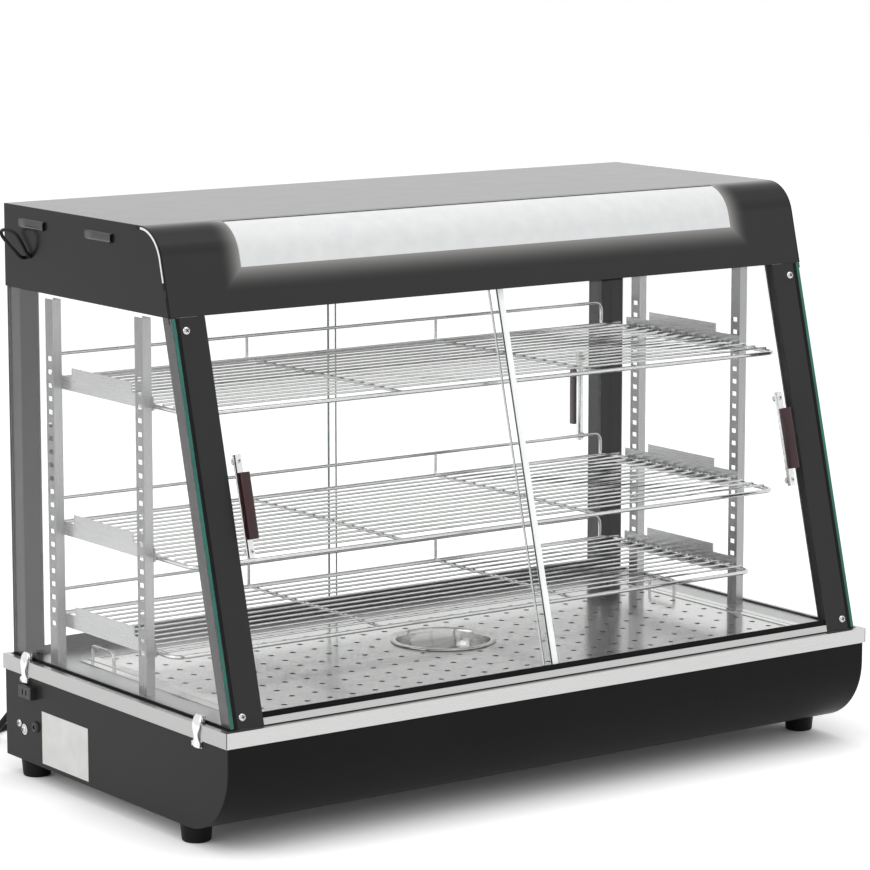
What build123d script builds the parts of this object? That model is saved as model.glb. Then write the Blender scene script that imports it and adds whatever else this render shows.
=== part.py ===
from build123d import *
import math
import os

os.makedirs("parts", exist_ok=True)

# Heated food cabinet, in millimetres. X runs along the width, +Y to the back, +Z up, z = 0 is the floor.
# The outlines are laid out with y = 0 in the middle of the trim band; save() then centres the whole depth.

# Base and the trim band round its top edge
band_width = 900.0
band_depth = 480.0
band_top = 138.7
band_face = 17.3
band_wall = 1.5
band_ledge = 13.0
mitre_gap = 0.15
body_inset = 2.2
foot_height = 20.0
nose_radius = 78.0
side_wall = 1.5
front_wall = 1.2
seam = 0.4
side_flange = 12.0
flange_setback = 3.0
front_sheet_tail = 40.0
bottom_plate_lap = 20.0
pan_hang = 8.0
pan_side_inset = 57.0
pan_front_gap = 30.0
pan_lip = 1.0
foot_side_inset = 20.0
foot_front_inset = 94.0
foot_back_inset = 40.0
foot_radius = 17.5
foot_tip_radius = 16.0
foot_bevel = 1.5

# Floor of the cabin, its well, the perforated tray and the water bowl
deck_wall = 1.2
rest_gap = 0.2
fit_gap = 0.3
well_side_inset = 55.0
well_front_inset = 59.0
well_back_inset = 93.0
well_depth = 41.0
well_corner = 8.0
tray_lap = 3.0
tray_wall = 1.0
tray_skirt = 10.0
tray_slack = 0.8
hole_pitch = 30.0
hole_margin = 14.0
hole_radius = 3.6
bowl_y = -4.0
bowl_rim_radius = 62.5
bowl_wall_radius = 55.0
bowl_rise = 2.4
bowl_depth = 34.0
bowl_sheet = 0.8
tray_fit_gap = 1.5
bow_wire = 4.0
bow_length = 48.0
bow_height = 17.0
bow_corner = 5.0
bow_inset = 9.0
bow_left_inset = 30.0
bow_right_inset = 81.0
element_tube = 8.0
element_side_gap = 75.0
element_front_gap = 51.0
element_back_gap = 47.0
element_half_gap = 60.0
element_bend = 25.0
element_rise = 12.0
element_tail = 12.0
block_length = 60.0
block_depth = 20.0
block_height = 18.0
block_back_gap = 40.0
block_poles = 5

# Glass cabin: the slanted front plane starts just above the band and passes the hood's lower edge
slope_inset = 9.0
slope_rise = 2.3
hood_low = 566.0
hood_front_y = -121.5
post_width = 36.7
post_wall = 1.5
post_return = 11.0
post_side_leg = 22.0
rear_post_leg = 24.0
glass_wall = 5.0
glass_inset = 10.5
gasket = 1.3
rear_glass_inset = 7.0
post_screw_rise = 12.3
post_screw_drop = 14.0
post_screw_inset = 16.5

# Sliding doors, their grooved tracks and the front sill
pane = 4.0
groove = 5.0
track_lip = 1.5
track_rib = 1.0
track_base = 1.6
track_height = 6.0
track_setback = 1.5
track_gap = 0.2
top_track_rise = 9.12
pane_seat = 0.3
pane_top_gap = 0.6
sill_low_rise = 0.3
sill_top_u = 6.2
sill_wall = 1.2
door_edge_gap = 0.6
front_meeting_x = -6.0
door_overlap = 8.0
rear_track_inset = 22.0
rear_track_rise = 2.0
rear_door_edge = 31.5
rear_meeting_x = -2.0

# Bow handles with their grips
handle_inset = 58.5
handle_middle_z = 365.0
handle_length = 108.0
handle_strip_width = 8.0
handle_strip = 1.6
handle_proud = 12.5
handle_foot = 11.0
handle_lift = 0.1
handle_screw_spacing = 98.0
grip_length = 68.0
grip_width = 12.0
grip_proud = 17.0
grip_back = 9.0
grip_slack = 0.15
bolt_radius = 2.1
bolt_hole_radius = 2.4
nut_flats = 6.4
nut_reach = 1.5

# Slotted shelf rails, brackets and wire shelves
rail_inset = 25.0
rail_width = 11.0
rail_depth = 16.5
rail_wall = 1.0
rail_front_y = -42.8
rail_back_gap = 60.3
rail_drop = 9.0
slot_rise = 46.8
slot_pitch = 15.2
slot_count = 21
slot_width = 9.0
slot_height = 5.5
bracket_slots = (18, 7, 0)
bracket_wall = 1.2
bracket_drop = 4.1
bracket_front_reach = 2.0
bracket_back_reach = 24.5
bracket_strip = 15.5
bracket_tab = 26.0
bracket_tab_front_gap = 43.8
bracket_tab_back_gap = 21.2
seat_inset = 7.0
bracket_flange = 20.5
hook_slack = 1.0
hook_reach = 3.0
shelf_side_gap = 2.6
shelf_back_gap = 6.0
shelf_front_y = -120.0
low_shelf_front_y = -80.0
frame_rod = 5.0
wire_rod = 2.6
cross_rod = 4.0
cross_rod_x = 137.0
wire_pitch = 21.0
weld_sink = 0.4
shelf_corner = 15.0
guard_height = 28.0
guard_corner = 10.0
shelf_rest = 0.2

# Hood, lamp and lens
hood_overlap = 1.9
hood_height = 94.0
hood_radius = 43.4
hood_wall = 1.2
hood_flange = 12.0
louvre_length = 60.0
louvre_slit = 2.5
louvre_height = 9.0
louvre_drop = 20.5
louvre_back_inset = 30.0
louvre_spacing = 145.0
lens_end_gap = 98.4
lens_start_turn = 11.0
lens_end_turn = 94.5
lens_wall = 2.5
lens_gap = 0.3
lamp_radius = 8.0
lamp_end_gap = 13.0
lamp_cap = 12.0
lamp_cap_half = 11.0
lamp_setback = 59.5
lamp_drop = 38.0

# Control panel on the back of the base; its controls follow each other from its left lower corner
plate_side_inset = 30.6
plate_rise = 12.6
plate_height = 74.4
plate_corner = 10.0
plate_wall = 1.0
dial_step = 52.2
plate_end_step = 52.3
dial_up = 36.0
dial_radius = 31.0
dial_skirt = 3.5
knob_radius = 24.0
dial_height = 25.0
dial_clearance = 1.0
dial_dish = 1.2
knob_flutes = 18
flute_radius = 2.6
flute_offset = 1.6
shaft_radius = 3.0
shaft_clearance = 0.05
shaft_fit_gap = 2.0
power_switch_step = 33.4
light_switch_step = 34.9
switch_up = 35.9
switch_half_height = 15.5
light_switch_half_width = 7.3
power_switch_half_width = 13.5
switch_rim = 2.0
switch_depth = 18.0
switch_cutout = 1.1
switch_inset = 1.3
switch_wall = 2.1
switch_end_wall = 1.9
rocker_slack = 0.3
rocker_end_slack = 1.1
rocker_low = 4.0
rocker_edge = 6.2
rocker_valley = 4.6
rocker_tilt = 8.0
pivot_radius = 1.5
green_lamp_step = 30.0
red_lamp_step = 28.7
pilot_up = 36.4
pilot_radius = 7.5
pilot_body = 5.0
pilot_depth = 12.0
pilot_proud = 5.4
gland_along = 28.4
gland_up = 35.4
gland_flats = 22.0
gland_barrel = 8.0
gland_collar = 9.6
gland_nose = 5.2
gland_length = 20.2
screw_inset = 5.5
screw_head_radius = 4.5
screw_head_taper = 24.0
screw_head_height = 2.4
screw_shank_radius = 1.9
screw_hole_radius = 2.1
screw_length = 6.0
thermostat_half = 17.0
thermostat_depth = 22.0
shaft_reach = 16.0
terminal_tab = 10.0

# Left side of the base
socket_inset = 45.0
socket_length = 28.0
socket_drop = 41.7
socket_height = 14.5
socket_proud = 8.5
socket_slots = (9.5, 17.5)
side_screw_places = ((33.0, 62.0), (45.0, 57.0))

# Draw latches that hold the glass cabin down on the base
latch_rear_inset = 47.0
latch_front_inset = 61.0
latch_width = 13.0
latch_pivot_out = 5.4
latch_pivot_drop = 21.9
latch_pin_radius = 1.2
latch_barrel_radius = 2.6
latch_ear = 2.6
latch_sheet = 1.2
latch_reach = 13.2
latch_rise = 9.7
latch_bend = 1.4

# Power cord: steps from the gland's mouth (the last figure is the height), coil behind the base, plug
cord = 8.0
cord_steps = (
    (0, 0, 68), (0, 24, 68), (-2, 53, 56), (-7, 77, 31), (-9, 98, 13), (-2, 121, 4.05),
    (17, 141, 4.05), (46, 154, 4.05), (83, 154, 4.05), (115, 148.9, 4.05), (147, 148.9, 4.05),
)
coil_mean_radius = 48.0
coil_half_turns = 4
coil_pitch = 10.6
coil_layer = 8.8
plug_rise = 42.0
plug_axis_z = 18.6
plug_radius = 18.5
plug_length = 66.0
pin_radius = 2.4
pin_length = 20.0
pin_spacing = 19.0

# Lamp lead: steps out of the hood's side, back from its rear edge and down from its top
lead = 4.0
rod_sides = 8
lead_steps = (
    (0, 59, 56), (8.6, 59, 56), (15.6, 51, 44), (16.6, 33, 30), (15.6, 19, 29),
    (13.6, 17, 39), (10.6, 30, 50), (7.6, 45, 58), (0, 45, 58),
)

# Values worked out from the ones above
half_x = band_width / 2 - body_inset
half_y = band_depth / 2 - body_inset
band_low = band_top - band_face
wall_top = band_top - band_wall - rest_gap
foot_x = band_width / 2 - foot_side_inset
foot_ys = (-band_depth / 2 + foot_front_inset, band_depth / 2 - foot_back_inset)
deck_half_x = band_width / 2 - band_ledge - fit_gap
deck_half_y = band_depth / 2 - band_ledge - fit_gap
well_half_width = band_width / 2 - well_side_inset
well_front_y = -band_depth / 2 + well_front_inset
well_back_y = band_depth / 2 - well_back_inset
well_low = band_top - well_depth
tray_low = band_top + rest_gap
tray_top = tray_low + tray_wall
hole_columns = 2 * int((well_half_width - hole_margin) / hole_pitch) + 1
hole_rows = int((well_back_y - well_front_y - 2 * hole_margin) / hole_pitch) + 1
slope_low_y = -band_depth / 2 + slope_inset
slope_low_z = band_top + slope_rise
slant = math.atan2(hood_front_y - slope_low_y, hood_low - slope_low_z)
slope = Plane(
    origin=(0, slope_low_y, slope_low_z), x_dir=(1, 0, 0), z_dir=(0, -math.cos(slant), math.sin(slant))
)
glass_half_width = band_width / 2 - glass_inset
glass_inner_x = glass_half_width - glass_wall
glass_low = band_top + gasket
glass_high = hood_low - fit_gap
rear_glass_y = band_depth / 2 - rear_glass_inset
post_outer_x = glass_inner_x - fit_gap
post_inner_x = post_outer_x - post_width
post_low = band_top + rest_gap
post_screw_x = glass_half_width - post_screw_inset
post_screw_zs = (band_top + post_screw_rise, hood_low - post_screw_drop)
track_width = 2 * track_lip + track_rib + 2 * groove
track_low_u = sill_top_u + track_gap
top_track_u = (hood_low - slope_low_z) / math.cos(slant) + top_track_rise
sill_low_z = band_top + sill_low_rise
pane_margin = (groove - pane) / 2
outer_pane_w = -(track_setback + track_lip + pane_margin)
inner_pane_w = outer_pane_w - pane - 2 * pane_margin - track_rib
front_pane_half = post_inner_x - door_edge_gap
rear_track_y = rear_glass_y - rear_track_inset
rear_top_track_z = hood_low + rear_track_rise
rear_door_half_width = glass_half_width - rear_door_edge
inner_rear_y = rear_track_y + track_lip + pane_margin
outer_rear_y = inner_rear_y + pane + 2 * pane_margin + track_rib
rear_pane_low = band_top + rest_gap + track_base + pane_seat
rear_pane_high = rear_top_track_z + track_height - pane_top_gap
handle_x = glass_half_width - handle_inset
rail_x = glass_half_width - rail_inset
rail_back_y = rear_track_y - rail_back_gap
rail_top = hood_low - rail_drop
slot_low_z = band_top + slot_rise
shelf_half_width = rail_x - shelf_side_gap
shelf_back_y = rear_track_y - shelf_back_gap
hood_half_width = glass_half_width + hood_overlap
hood_inner_half = hood_half_width - hood_wall - fit_gap
hood_top = hood_low + hood_height
lens_half_width = hood_half_width - lens_end_gap
lamp_half_length = lens_half_width - lamp_end_gap
lamp_y = hood_front_y + lamp_setback
lamp_z = hood_top - lamp_drop
plate_left_x = -band_width / 2 + plate_side_inset
plate_low_z = foot_height + plate_rise
plate_high_z = plate_low_z + plate_height
plate_face = half_y + plate_wall
gland_x = plate_left_x + gland_along
gland_z = plate_low_z + gland_up
lamp_green_x = gland_x + green_lamp_step
power_switch_x = lamp_green_x + power_switch_step
light_switch_x = power_switch_x + light_switch_step
lamp_red_x = light_switch_x + red_lamp_step
dial_x = lamp_red_x + dial_step
dial_z = plate_low_z + dial_up
plate_right_x = dial_x + plate_end_step
switches = ((light_switch_x, light_switch_half_width), (power_switch_x, power_switch_half_width))
switch_z = plate_low_z + switch_up
pilot_z = plate_low_z + pilot_up
plate_middle_x = (plate_left_x + plate_right_x) / 2
plate_screws = (
    (plate_right_x - screw_inset, pilot_z), (plate_left_x + screw_inset, pilot_z),
    (plate_middle_x, plate_high_z - screw_inset), (plate_middle_x, plate_low_z + screw_inset),
)
latch_ys = (band_depth / 2 - latch_rear_inset, -band_depth / 2 + latch_front_inset)
latch_pivot_z = band_top - latch_pivot_drop
latch_strike_z = band_top + latch_rise
middle_y = (plate_face + dial_clearance + dial_height - band_depth / 2) / 2
cord_start_y = plate_face + gland_length
cord_route = [(gland_x + dx, cord_start_y + dy, z) for dx, dy, z in cord_steps]
coil_x = cord_route[-1][0] + cord
coil_outer_radius = coil_mean_radius + coil_pitch * coil_half_turns / 4
coil_y = cord_route[-1][1] - coil_outer_radius
lead_route = [
    (-hood_half_width - out, rear_glass_y - forward, hood_top - down) for out, forward, down in lead_steps
]


def block(x0, x1, y0, y1, z0, z1):
    return Pos((x0 + x1) / 2, (y0 + y1) / 2, (z0 + z1) / 2) * Box(x1 - x0, y1 - y0, z1 - z0)


def slope_block(x0, x1, u0, u1, w0, w1):
    # u runs up the slanted front, w stands out of it
    return slope * block(x0, x1, u0, u1, w0, w1)


def front_y(z, w=0.0):
    # y of the slanted front plane, moved out by w, at height z
    return slope_low_y + (z - slope_low_z) * math.tan(slant) - w / math.cos(slant)


def slope_u(z):
    # distance up the slanted front to height z
    return (z - slope_low_z) / math.cos(slant)


def outline(points):
    return make_face(Polyline(*points, close=True))


def across(face, x0, x1):
    # a face drawn in (y, z), pulled along X from x0 to x1
    return extrude(Plane.YZ.offset(x0) * face, x1 - x0)


def rod_y(x, z, radius, y0, y1):
    return Pos(x, (y0 + y1) / 2, z) * Rot(X=90) * Cylinder(radius, y1 - y0)


def eight_sided_y(x, z, radius, y0, y1):
    # prism along Y whose flats touch the given radius
    face = Pos(x, z) * RegularPolygon(radius, 8, major_radius=False)
    return extrude(Plane.XZ.offset(-y0) * face, y0 - y1)


def rod_z(x, y, radius, z0, z1):
    return Pos(x, y, (z0 + z1) / 2) * Cylinder(radius, z1 - z0)


def rod_x(y, z, radius, x0, x1):
    return Pos((x0 + x1) / 2, y, z) * Rot(Y=90) * Cylinder(radius, x1 - x0)


def tube(path, radius):
    return sweep(Plane(origin=path @ 0, z_dir=path % 0) * Circle(radius), path=path)


def bent_rod(path, radius):
    # rod of eight flats with the section area of the round one
    around = radius * math.sqrt(math.pi / (rod_sides / 2 * math.sin(2 * math.pi / rod_sides)))
    section = RegularPolygon(around, rod_sides, rotation=180 / rod_sides)
    return sweep(Plane(origin=path @ 0, z_dir=path % 0) * section, path=path)


def bend_radii(points):
    runs = [b - a for a, b in zip(points, points[1:])]
    return [
        0.45 * min(a.length, b.length) / math.tan(math.radians(a.get_angle(b)) / 2)
        for a, b in zip(runs, runs[1:])
    ]


def cord_tube(name, route, diameter):
    points = [Vector(*p) for p in route]
    radii = bend_radii(points)
    path = FilletPolyline(*points, radius=radii)
    solid = tube(path, diameter / 2)
    expected = math.pi * diameter**2 / 4 * path.length
    print(name, "length", round(path.length, 1), "bend radii", [round(r, 1) for r in radii])
    print(name, "volume", round(solid.volume, 1), "section x length", round(expected, 1))
    return solid


def screw_head():
    # low tapered head with twelve sides, standing on the local z = 0 plane
    return extrude(RegularPolygon(screw_head_radius, 12), screw_head_height, taper=screw_head_taper)


def screw(location):
    shank = extrude(Pos(0, 0, -screw_length) * RegularPolygon(screw_shank_radius, 8), screw_length)
    return location * (screw_head() + shank)


def body_outline(inset, top, back):
    # side view of the base: upright front, rounded nose, flat bottom
    low = foot_height + inset
    front = -half_y + inset
    face = outline([(front, low), (back, low), (back, top), (front, top)])
    corner = face.vertices().sort_by(lambda v: v.X + v.Y)[0]
    return fillet(corner, nose_radius - inset)


def base_front_sheet():
    back = -half_y + nose_radius + front_sheet_tail
    sheet = body_outline(0, wall_top, back) - body_outline(front_wall, wall_top, back)
    inner_x = half_x - side_wall - seam
    return across(sheet, -inner_x, inner_x)


def base_sides():
    inner = half_x - side_wall
    skin = across(body_outline(0, wall_top, half_y), inner, half_x)
    front = -half_y + nose_radius + front_sheet_tail + flange_setback
    back = half_y - flange_setback
    foot_flange = block(inner - side_flange, inner, front, back, foot_height, foot_height + side_wall)
    back_flange = block(inner - side_flange, inner, back, back + side_wall, foot_height, wall_top)
    right = skin + foot_flange + back_flange
    return right, mirror(right, Plane.YZ)


def control_cutouts(y0, y1):
    # openings that the controls reach through
    holes = [eight_sided_y(dial_x, dial_z, shaft_radius + shaft_fit_gap, y0, y1)]
    holes += [eight_sided_y(x, pilot_z, pilot_body + fit_gap, y0, y1) for x in (lamp_red_x, lamp_green_x)]
    holes += [eight_sided_y(gland_x, gland_z, gland_barrel + fit_gap, y0, y1)]
    holes += [eight_sided_y(x, z, screw_hole_radius, y0, y1) for x, z in plate_screws]
    high = switch_half_height - switch_cutout
    for x, half in switches:
        wide = half - switch_cutout
        holes.append(block(x - wide, x + wide, y0, y1, switch_z - high, switch_z + high))
    return holes


def base_back_panel():
    panel = block(
        -half_x + side_wall + seam, half_x - side_wall - seam, half_y - front_wall, half_y,
        foot_height, wall_top
    )
    return panel - control_cutouts(half_y - 2 * front_wall, half_y + front_wall)


def base_bottom_plate():
    # flat plate with a shallow pan hanging through it
    low = foot_height + side_wall
    front = -half_y + nose_radius + bottom_plate_lap
    back = half_y - flange_setback - seam
    half = half_x - side_wall - seam
    plate = block(-half, half, front, back, low, low + front_wall)
    pan_half = half_x - pan_side_inset
    pan_front = front + pan_front_gap
    pan_back = back - pan_lip - flange_setback
    pan_low = foot_height - pan_hang
    plate -= block(
        -pan_half + pan_lip, pan_half - pan_lip, pan_front + pan_lip, pan_back - pan_lip,
        low - front_wall, low + 2 * front_wall
    )
    shell = block(-pan_half, pan_half, pan_front, pan_back, pan_low, low)
    shell -= block(
        -pan_half + front_wall, pan_half - front_wall, pan_front + front_wall, pan_back - front_wall,
        pan_low + front_wall, low + front_wall
    )
    return plate + shell


def feet():
    profile = outline(
        [(0, 0), (foot_tip_radius - foot_bevel, 0), (foot_tip_radius, foot_bevel),
         (foot_radius, foot_height - 2 * foot_bevel), (foot_radius, foot_height), (0, foot_height)]
    )
    foot = revolve(Plane.XZ * profile, Axis.Z)
    return [Pos(x, y, 0) * foot for x in (-foot_x, foot_x) for y in foot_ys]


def band_bar(half_length, reach):
    # one strip of the band: face and ledge, mitred at both ends
    section = outline(
        [(-reach, band_low), (-reach + band_wall, band_low), (-reach + band_wall, band_top - band_wall),
         (-reach + band_ledge, band_top - band_wall), (-reach + band_ledge, band_top), (-reach, band_top)]
    )
    bar = across(section, -half_length, half_length)
    cut = band_ledge + 1
    long = half_length - mitre_gap
    plan = outline(
        [(-long, -reach), (long, -reach), (long - cut, -reach + cut), (-long + cut, -reach + cut)]
    )
    return bar & extrude(Pos(0, 0, band_low - 1) * plan, band_top - band_low + 2)


def trim_band():
    long_bar = band_bar(band_width / 2, band_depth / 2)
    short_bar = band_bar(band_depth / 2, band_width / 2)
    return [
        long_bar, Rot(Z=180) * long_bar, Rot(Z=90) * short_bar, Rot(Z=-90) * short_bar
    ]


def well_prism(inset, z0, z1):
    face = Rectangle(2 * (well_half_width - inset), well_back_y - well_front_y - 2 * inset)
    face = fillet(face.vertices(), well_corner - inset * 0.5)
    return extrude(Pos(0, (well_front_y + well_back_y) / 2, z0) * face, z1 - z0)


def floor_pan():
    deck = block(
        -deck_half_x, deck_half_x, -deck_half_y, deck_half_y, band_top - deck_wall, band_top
    )
    pan = deck + well_prism(-deck_wall, well_low - deck_wall, band_top)
    pan -= well_prism(0, well_low, band_top + 1)
    for x in (-element_half_gap, element_half_gap):
        pan -= rod_y(
            x, well_low + element_rise, element_tube / 2 + fit_gap, well_back_y - deck_wall,
            well_back_y + 2 * deck_wall
        )
    return pan


def tray_bow(x, y, turn):
    # fixed lifting bow of bent wire, its feet welded to the tray
    foot = tray_top
    points = [(0, -bow_length / 2, foot), (0, -bow_length / 2, foot + bow_height),
              (0, bow_length / 2, foot + bow_height), (0, bow_length / 2, foot)]
    path = FilletPolyline(*points, radius=bow_corner)
    return Pos(x, y, 0) * Rot(Z=turn) * bent_rod(path, bow_wire / 2)


def perforated_tray():
    half = well_half_width + tray_lap
    front = well_front_y - tray_lap
    back = well_back_y + tray_lap
    plate = block(-half, half, front, back, tray_low, tray_top)
    skirt = well_prism(tray_slack, tray_low - tray_skirt, tray_low)
    skirt -= well_prism(tray_slack + tray_wall, tray_low - tray_skirt - 1, tray_low)
    bowl_hole = rod_z(0, bowl_y, bowl_wall_radius + tray_fit_gap, tray_low - 1, tray_top + 1)
    first_x = -hole_pitch * (hole_columns - 1) / 2
    holes = []
    for column in range(hole_columns):
        for row in range(hole_rows):
            x = first_x + column * hole_pitch
            y = well_front_y + hole_margin + row * hole_pitch
            if math.hypot(x, y - bowl_y) > bowl_rim_radius + hole_radius + tray_wall:
                holes.append(Pos(x, y) * RegularPolygon(hole_radius, 4))
    punched = extrude(Pos(0, 0, tray_low - 1) * Sketch(children=holes), tray_wall + 2)
    tray = plate - bowl_hole - punched + skirt
    bow_x = well_half_width - bow_inset
    left = tray_bow(-bow_x, well_back_y - bow_left_inset, 0)
    right = tray_bow(bow_x, well_back_y - bow_right_inset, 0)
    return [tray, left, right]


def water_bowl():
    # pressed steel bowl in one turned outline; its rolled rim hangs on the tray
    rim = tray_top + bowl_rise
    low = rim - bowl_depth
    wall = bowl_wall_radius
    sheet = bowl_sheet
    roll = bowl_rim_radius - 1.5
    profile = outline(
        [(0, low), (30, low), (46, low + 6), (wall, rim - 6), (wall, rim - sheet), (roll - 1.2, rim - sheet),
         (roll - 0.7, rim - bowl_rise + rest_gap), (roll + 0.7, rim - bowl_rise + rest_gap),
         (bowl_rim_radius, rim - 0.6), (roll + 0.7, rim + 0.7), (roll - 0.7, rim + 0.7), (roll - 1.2, rim),
         (wall - 0.5, rim), (wall - sheet, rim - 6), (45.6, low + 6.7), (30, low + sheet), (0, low + sheet)]
    )
    return Pos(0, bowl_y, 0) * revolve(Plane.XZ * profile, Axis.Z)


def heating_element():
    # one sheathed loop under the tray, both tails out through the back of the well
    z = well_low + element_rise
    tail_y = well_back_y + deck_wall + element_tail
    back = well_back_y - element_back_gap
    front = well_front_y + element_front_gap
    half = well_half_width - element_side_gap
    gap = element_half_gap
    points = [
        (-gap, tail_y, z), (-gap, back, z), (-half, back, z), (-half, front, z),
        (half, front, z), (half, back, z), (gap, back, z), (gap, tail_y, z),
    ]
    return bent_rod(FilletPolyline(*points, radius=element_bend), element_tube / 2)


def thermostat():
    body_back = half_y - front_wall - fit_gap
    half = thermostat_half
    body_front = body_back - thermostat_depth
    body = block(dial_x - half, dial_x + half, body_front, body_back, dial_z - half, dial_z + half)
    body = chamfer(body.edges().filter_by(Axis.Y), half * 0.3)
    shaft = rod_y(
        dial_x, dial_z, shaft_radius, body_back - dial_clearance, plate_face + dial_clearance + shaft_reach
    )
    tab = terminal_tab
    tabs = [
        block(dial_x + dx - tab * 0.3, dial_x + dx + tab * 0.3, body_front - tab, body_front,
              dial_z - tab, dial_z - tab * 0.92)
        for dx in (-half / 2, half / 2)
    ]
    return body + shaft + tabs


def terminal_block():
    # stepped moulding on the floor of the base, one screw well for each pole
    front = half_y - block_back_gap - block_depth
    low = foot_height - pan_hang + front_wall + rest_gap / 2
    half = block_length / 2
    step = block_depth / 4
    shelf_z = low + block_height / 2
    base = block(-half, half, front, front + block_depth, low, shelf_z)
    base += block(-half, half, front + step, front + block_depth - step, shelf_z, low + block_height)
    pitch = block_length / block_poles
    well = pitch * 0.18
    for i in range(block_poles):
        x = -half + pitch * (i + 0.5)
        middle = front + block_depth / 2
        base -= block(x - well, x + well, middle - well, middle + well, shelf_z, low + 2 * block_height)
    return base


def control_plate():
    face = Rectangle(plate_right_x - plate_left_x, plate_high_z - plate_low_z)
    face = fillet(face.vertices(), plate_corner)
    middle = Pos(plate_middle_x, (plate_low_z + plate_high_z) / 2)
    plate = extrude(Plane.XZ.offset(-half_y) * middle * face, -plate_wall)
    return plate - control_cutouts(half_y - plate_wall, half_y + 2 * plate_wall)


def temperature_dial():
    # skirt with the scale, fluted grip with a chamfered crown and a dished top, shaft hole behind
    low = plate_face + dial_clearance
    edge = dial_dish
    skirt = revolve(
        Plane.XZ
        * outline(
            [(0, 0), (dial_radius - edge / 2, 0), (dial_radius, edge), (dial_radius - edge, dial_skirt),
             (0, dial_skirt)]
        ),
        Axis.Z,
    )
    flutes = [
        Rot(Z=360 * i / knob_flutes) * Pos(knob_radius + flute_offset, 0) * Circle(flute_radius)
        for i in range(knob_flutes)
    ]
    crown_height = dial_dish * 2.5
    grip_height = dial_height - crown_height - dial_skirt
    grip = extrude(Pos(0, 0, dial_skirt) * (Circle(knob_radius) - flutes), grip_height)
    crown = Pos(0, 0, dial_height - crown_height / 2) * Cone(
        knob_radius - dial_dish, knob_radius - crown_height, crown_height
    )
    dish = Pos(0, 0, dial_height) * Cylinder(knob_radius * 0.75, 2 * dial_dish)
    bore = rod_z(0, 0, shaft_radius + shaft_clearance, -1, shaft_reach + 0.5)
    dial = skirt + grip + crown - dish - bore
    return Pos(dial_x, low, dial_z) * Rot(X=-90) * dial


def switch_housings():
    out = []
    high = switch_half_height
    for x, half in switches:
        rim = block(x - half, x + half, plate_face, plate_face + switch_rim, switch_z - high, switch_z + high)
        rim = chamfer(rim.edges().group_by(Axis.Y)[-1], 0.5)
        wide = half - switch_inset
        tall = high - switch_inset
        body = block(
            x - wide, x + wide, half_y - switch_depth, plate_face + switch_rim / 4,
            switch_z - tall, switch_z + tall
        )
        wide = half - switch_wall
        tall = high - switch_end_wall
        cavity = block(
            x - wide, x + wide, plate_face - rocker_low - 3, plate_face + 2 * switch_rim,
            switch_z - tall, switch_z + tall
        )
        out.append(rim + body - cavity)
    return out


def rocker(x, half):
    # shallow V-shaped key, tilted about its pivot pins
    long = switch_half_height - switch_end_wall - rocker_end_slack
    short = long - rocker_low + 0.5
    face = outline(
        [(-rocker_low, -short), (-rocker_low, short), (rocker_edge / 2, long), (rocker_edge, long),
         (rocker_valley, 0), (rocker_edge, -long), (rocker_edge / 2, -long)]
    )
    wide = half - switch_wall
    key = across(face, -wide + rocker_slack, wide - rocker_slack)
    key += rod_x(0, 0, pivot_radius, -wide + rocker_slack / 3, wide - rocker_slack / 3)
    return Pos(x, plate_face, switch_z) * Rot(X=rocker_tilt) * key


def pilot_lamp(x):
    # flange on the plate, body behind it, faceted dome in front
    proud = pilot_proud
    profile = outline(
        [(0, -pilot_depth), (pilot_body, -pilot_depth), (pilot_body, 0), (pilot_radius, 0),
         (pilot_radius, proud * 0.3), (pilot_radius * 0.83, proud * 0.3), (pilot_radius * 0.75, proud * 0.63),
         (pilot_radius * 0.48, proud * 0.91), (0, proud)]
    )
    lamp = revolve(Plane.XZ * profile, Axis.Z)
    return Pos(x, plate_face, pilot_z) * Rot(X=-90) * lamp


def cable_gland():
    # hexagon on the plate, domed nut with its own flats, tapered mouth round the cord
    hexagon = extrude(RegularPolygon(gland_flats / 2, 6, major_radius=False), gland_flats / 4)
    long = gland_length
    profile = outline(
        [(0, -10), (gland_barrel, -10), (gland_barrel, 0), (gland_collar, 0), (gland_collar, long * 0.57),
         (gland_collar - 1, long * 0.77), (gland_nose + 1.4, long * 0.91), (gland_nose, long), (0, long)]
    )
    gland = hexagon + revolve(Plane.XZ * profile, Axis.Z)
    nut_half = gland_flats / 2 - 0.9
    nut = extrude(Pos(0, 0, long * 0.32) * RegularPolygon(nut_half, 6, major_radius=False), gland_flats / 5)
    return Pos(gland_x, plate_face, gland_z) * Rot(X=-90) * (gland + nut)


def front_posts():
    # folded channels behind the slanted front plane, cut level at both ends
    out = []
    low_u = -post_width
    high_u = slope_u(hood_low) + post_width
    level = block(-band_width, band_width, -band_depth, 0, post_low, glass_high)
    for side in (-1, 1):
        x0, x1 = sorted((side * post_inner_x, side * post_outer_x))
        face = slope_block(x0, x1, low_u, high_u, -post_wall, 0)
        a, b = sorted((side * post_inner_x, side * (post_inner_x + post_wall)))
        inner = slope_block(a, b, low_u, high_u, -post_return, 0)
        a, b = sorted((side * (post_outer_x - post_wall), side * post_outer_x))
        outer = slope_block(a, b, low_u, high_u, -post_side_leg, 0)
        post = (face + inner + outer) & level
        for z in post_screw_zs:
            post -= slope * rod_z(side * post_screw_x, slope_u(z), screw_hole_radius, -gasket * 3, gasket)
        out.append(post)
    return out


def rear_posts():
    out = []
    back = rear_glass_y
    for side in (-1, 1):
        x0, x1 = sorted((side * post_inner_x, side * post_outer_x))
        leaf = block(x0, x1, back - post_wall, back, post_low, glass_high)
        a, b = sorted((side * (post_outer_x - post_wall), side * post_outer_x))
        out.append(leaf + block(a, b, back - rear_post_leg, back, post_low, glass_high))
    return out


def pane_outline(low, high):
    return outline(
        [(front_y(low), low), (rear_glass_y, low), (rear_glass_y, high), (front_y(high), high)]
    )


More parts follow.
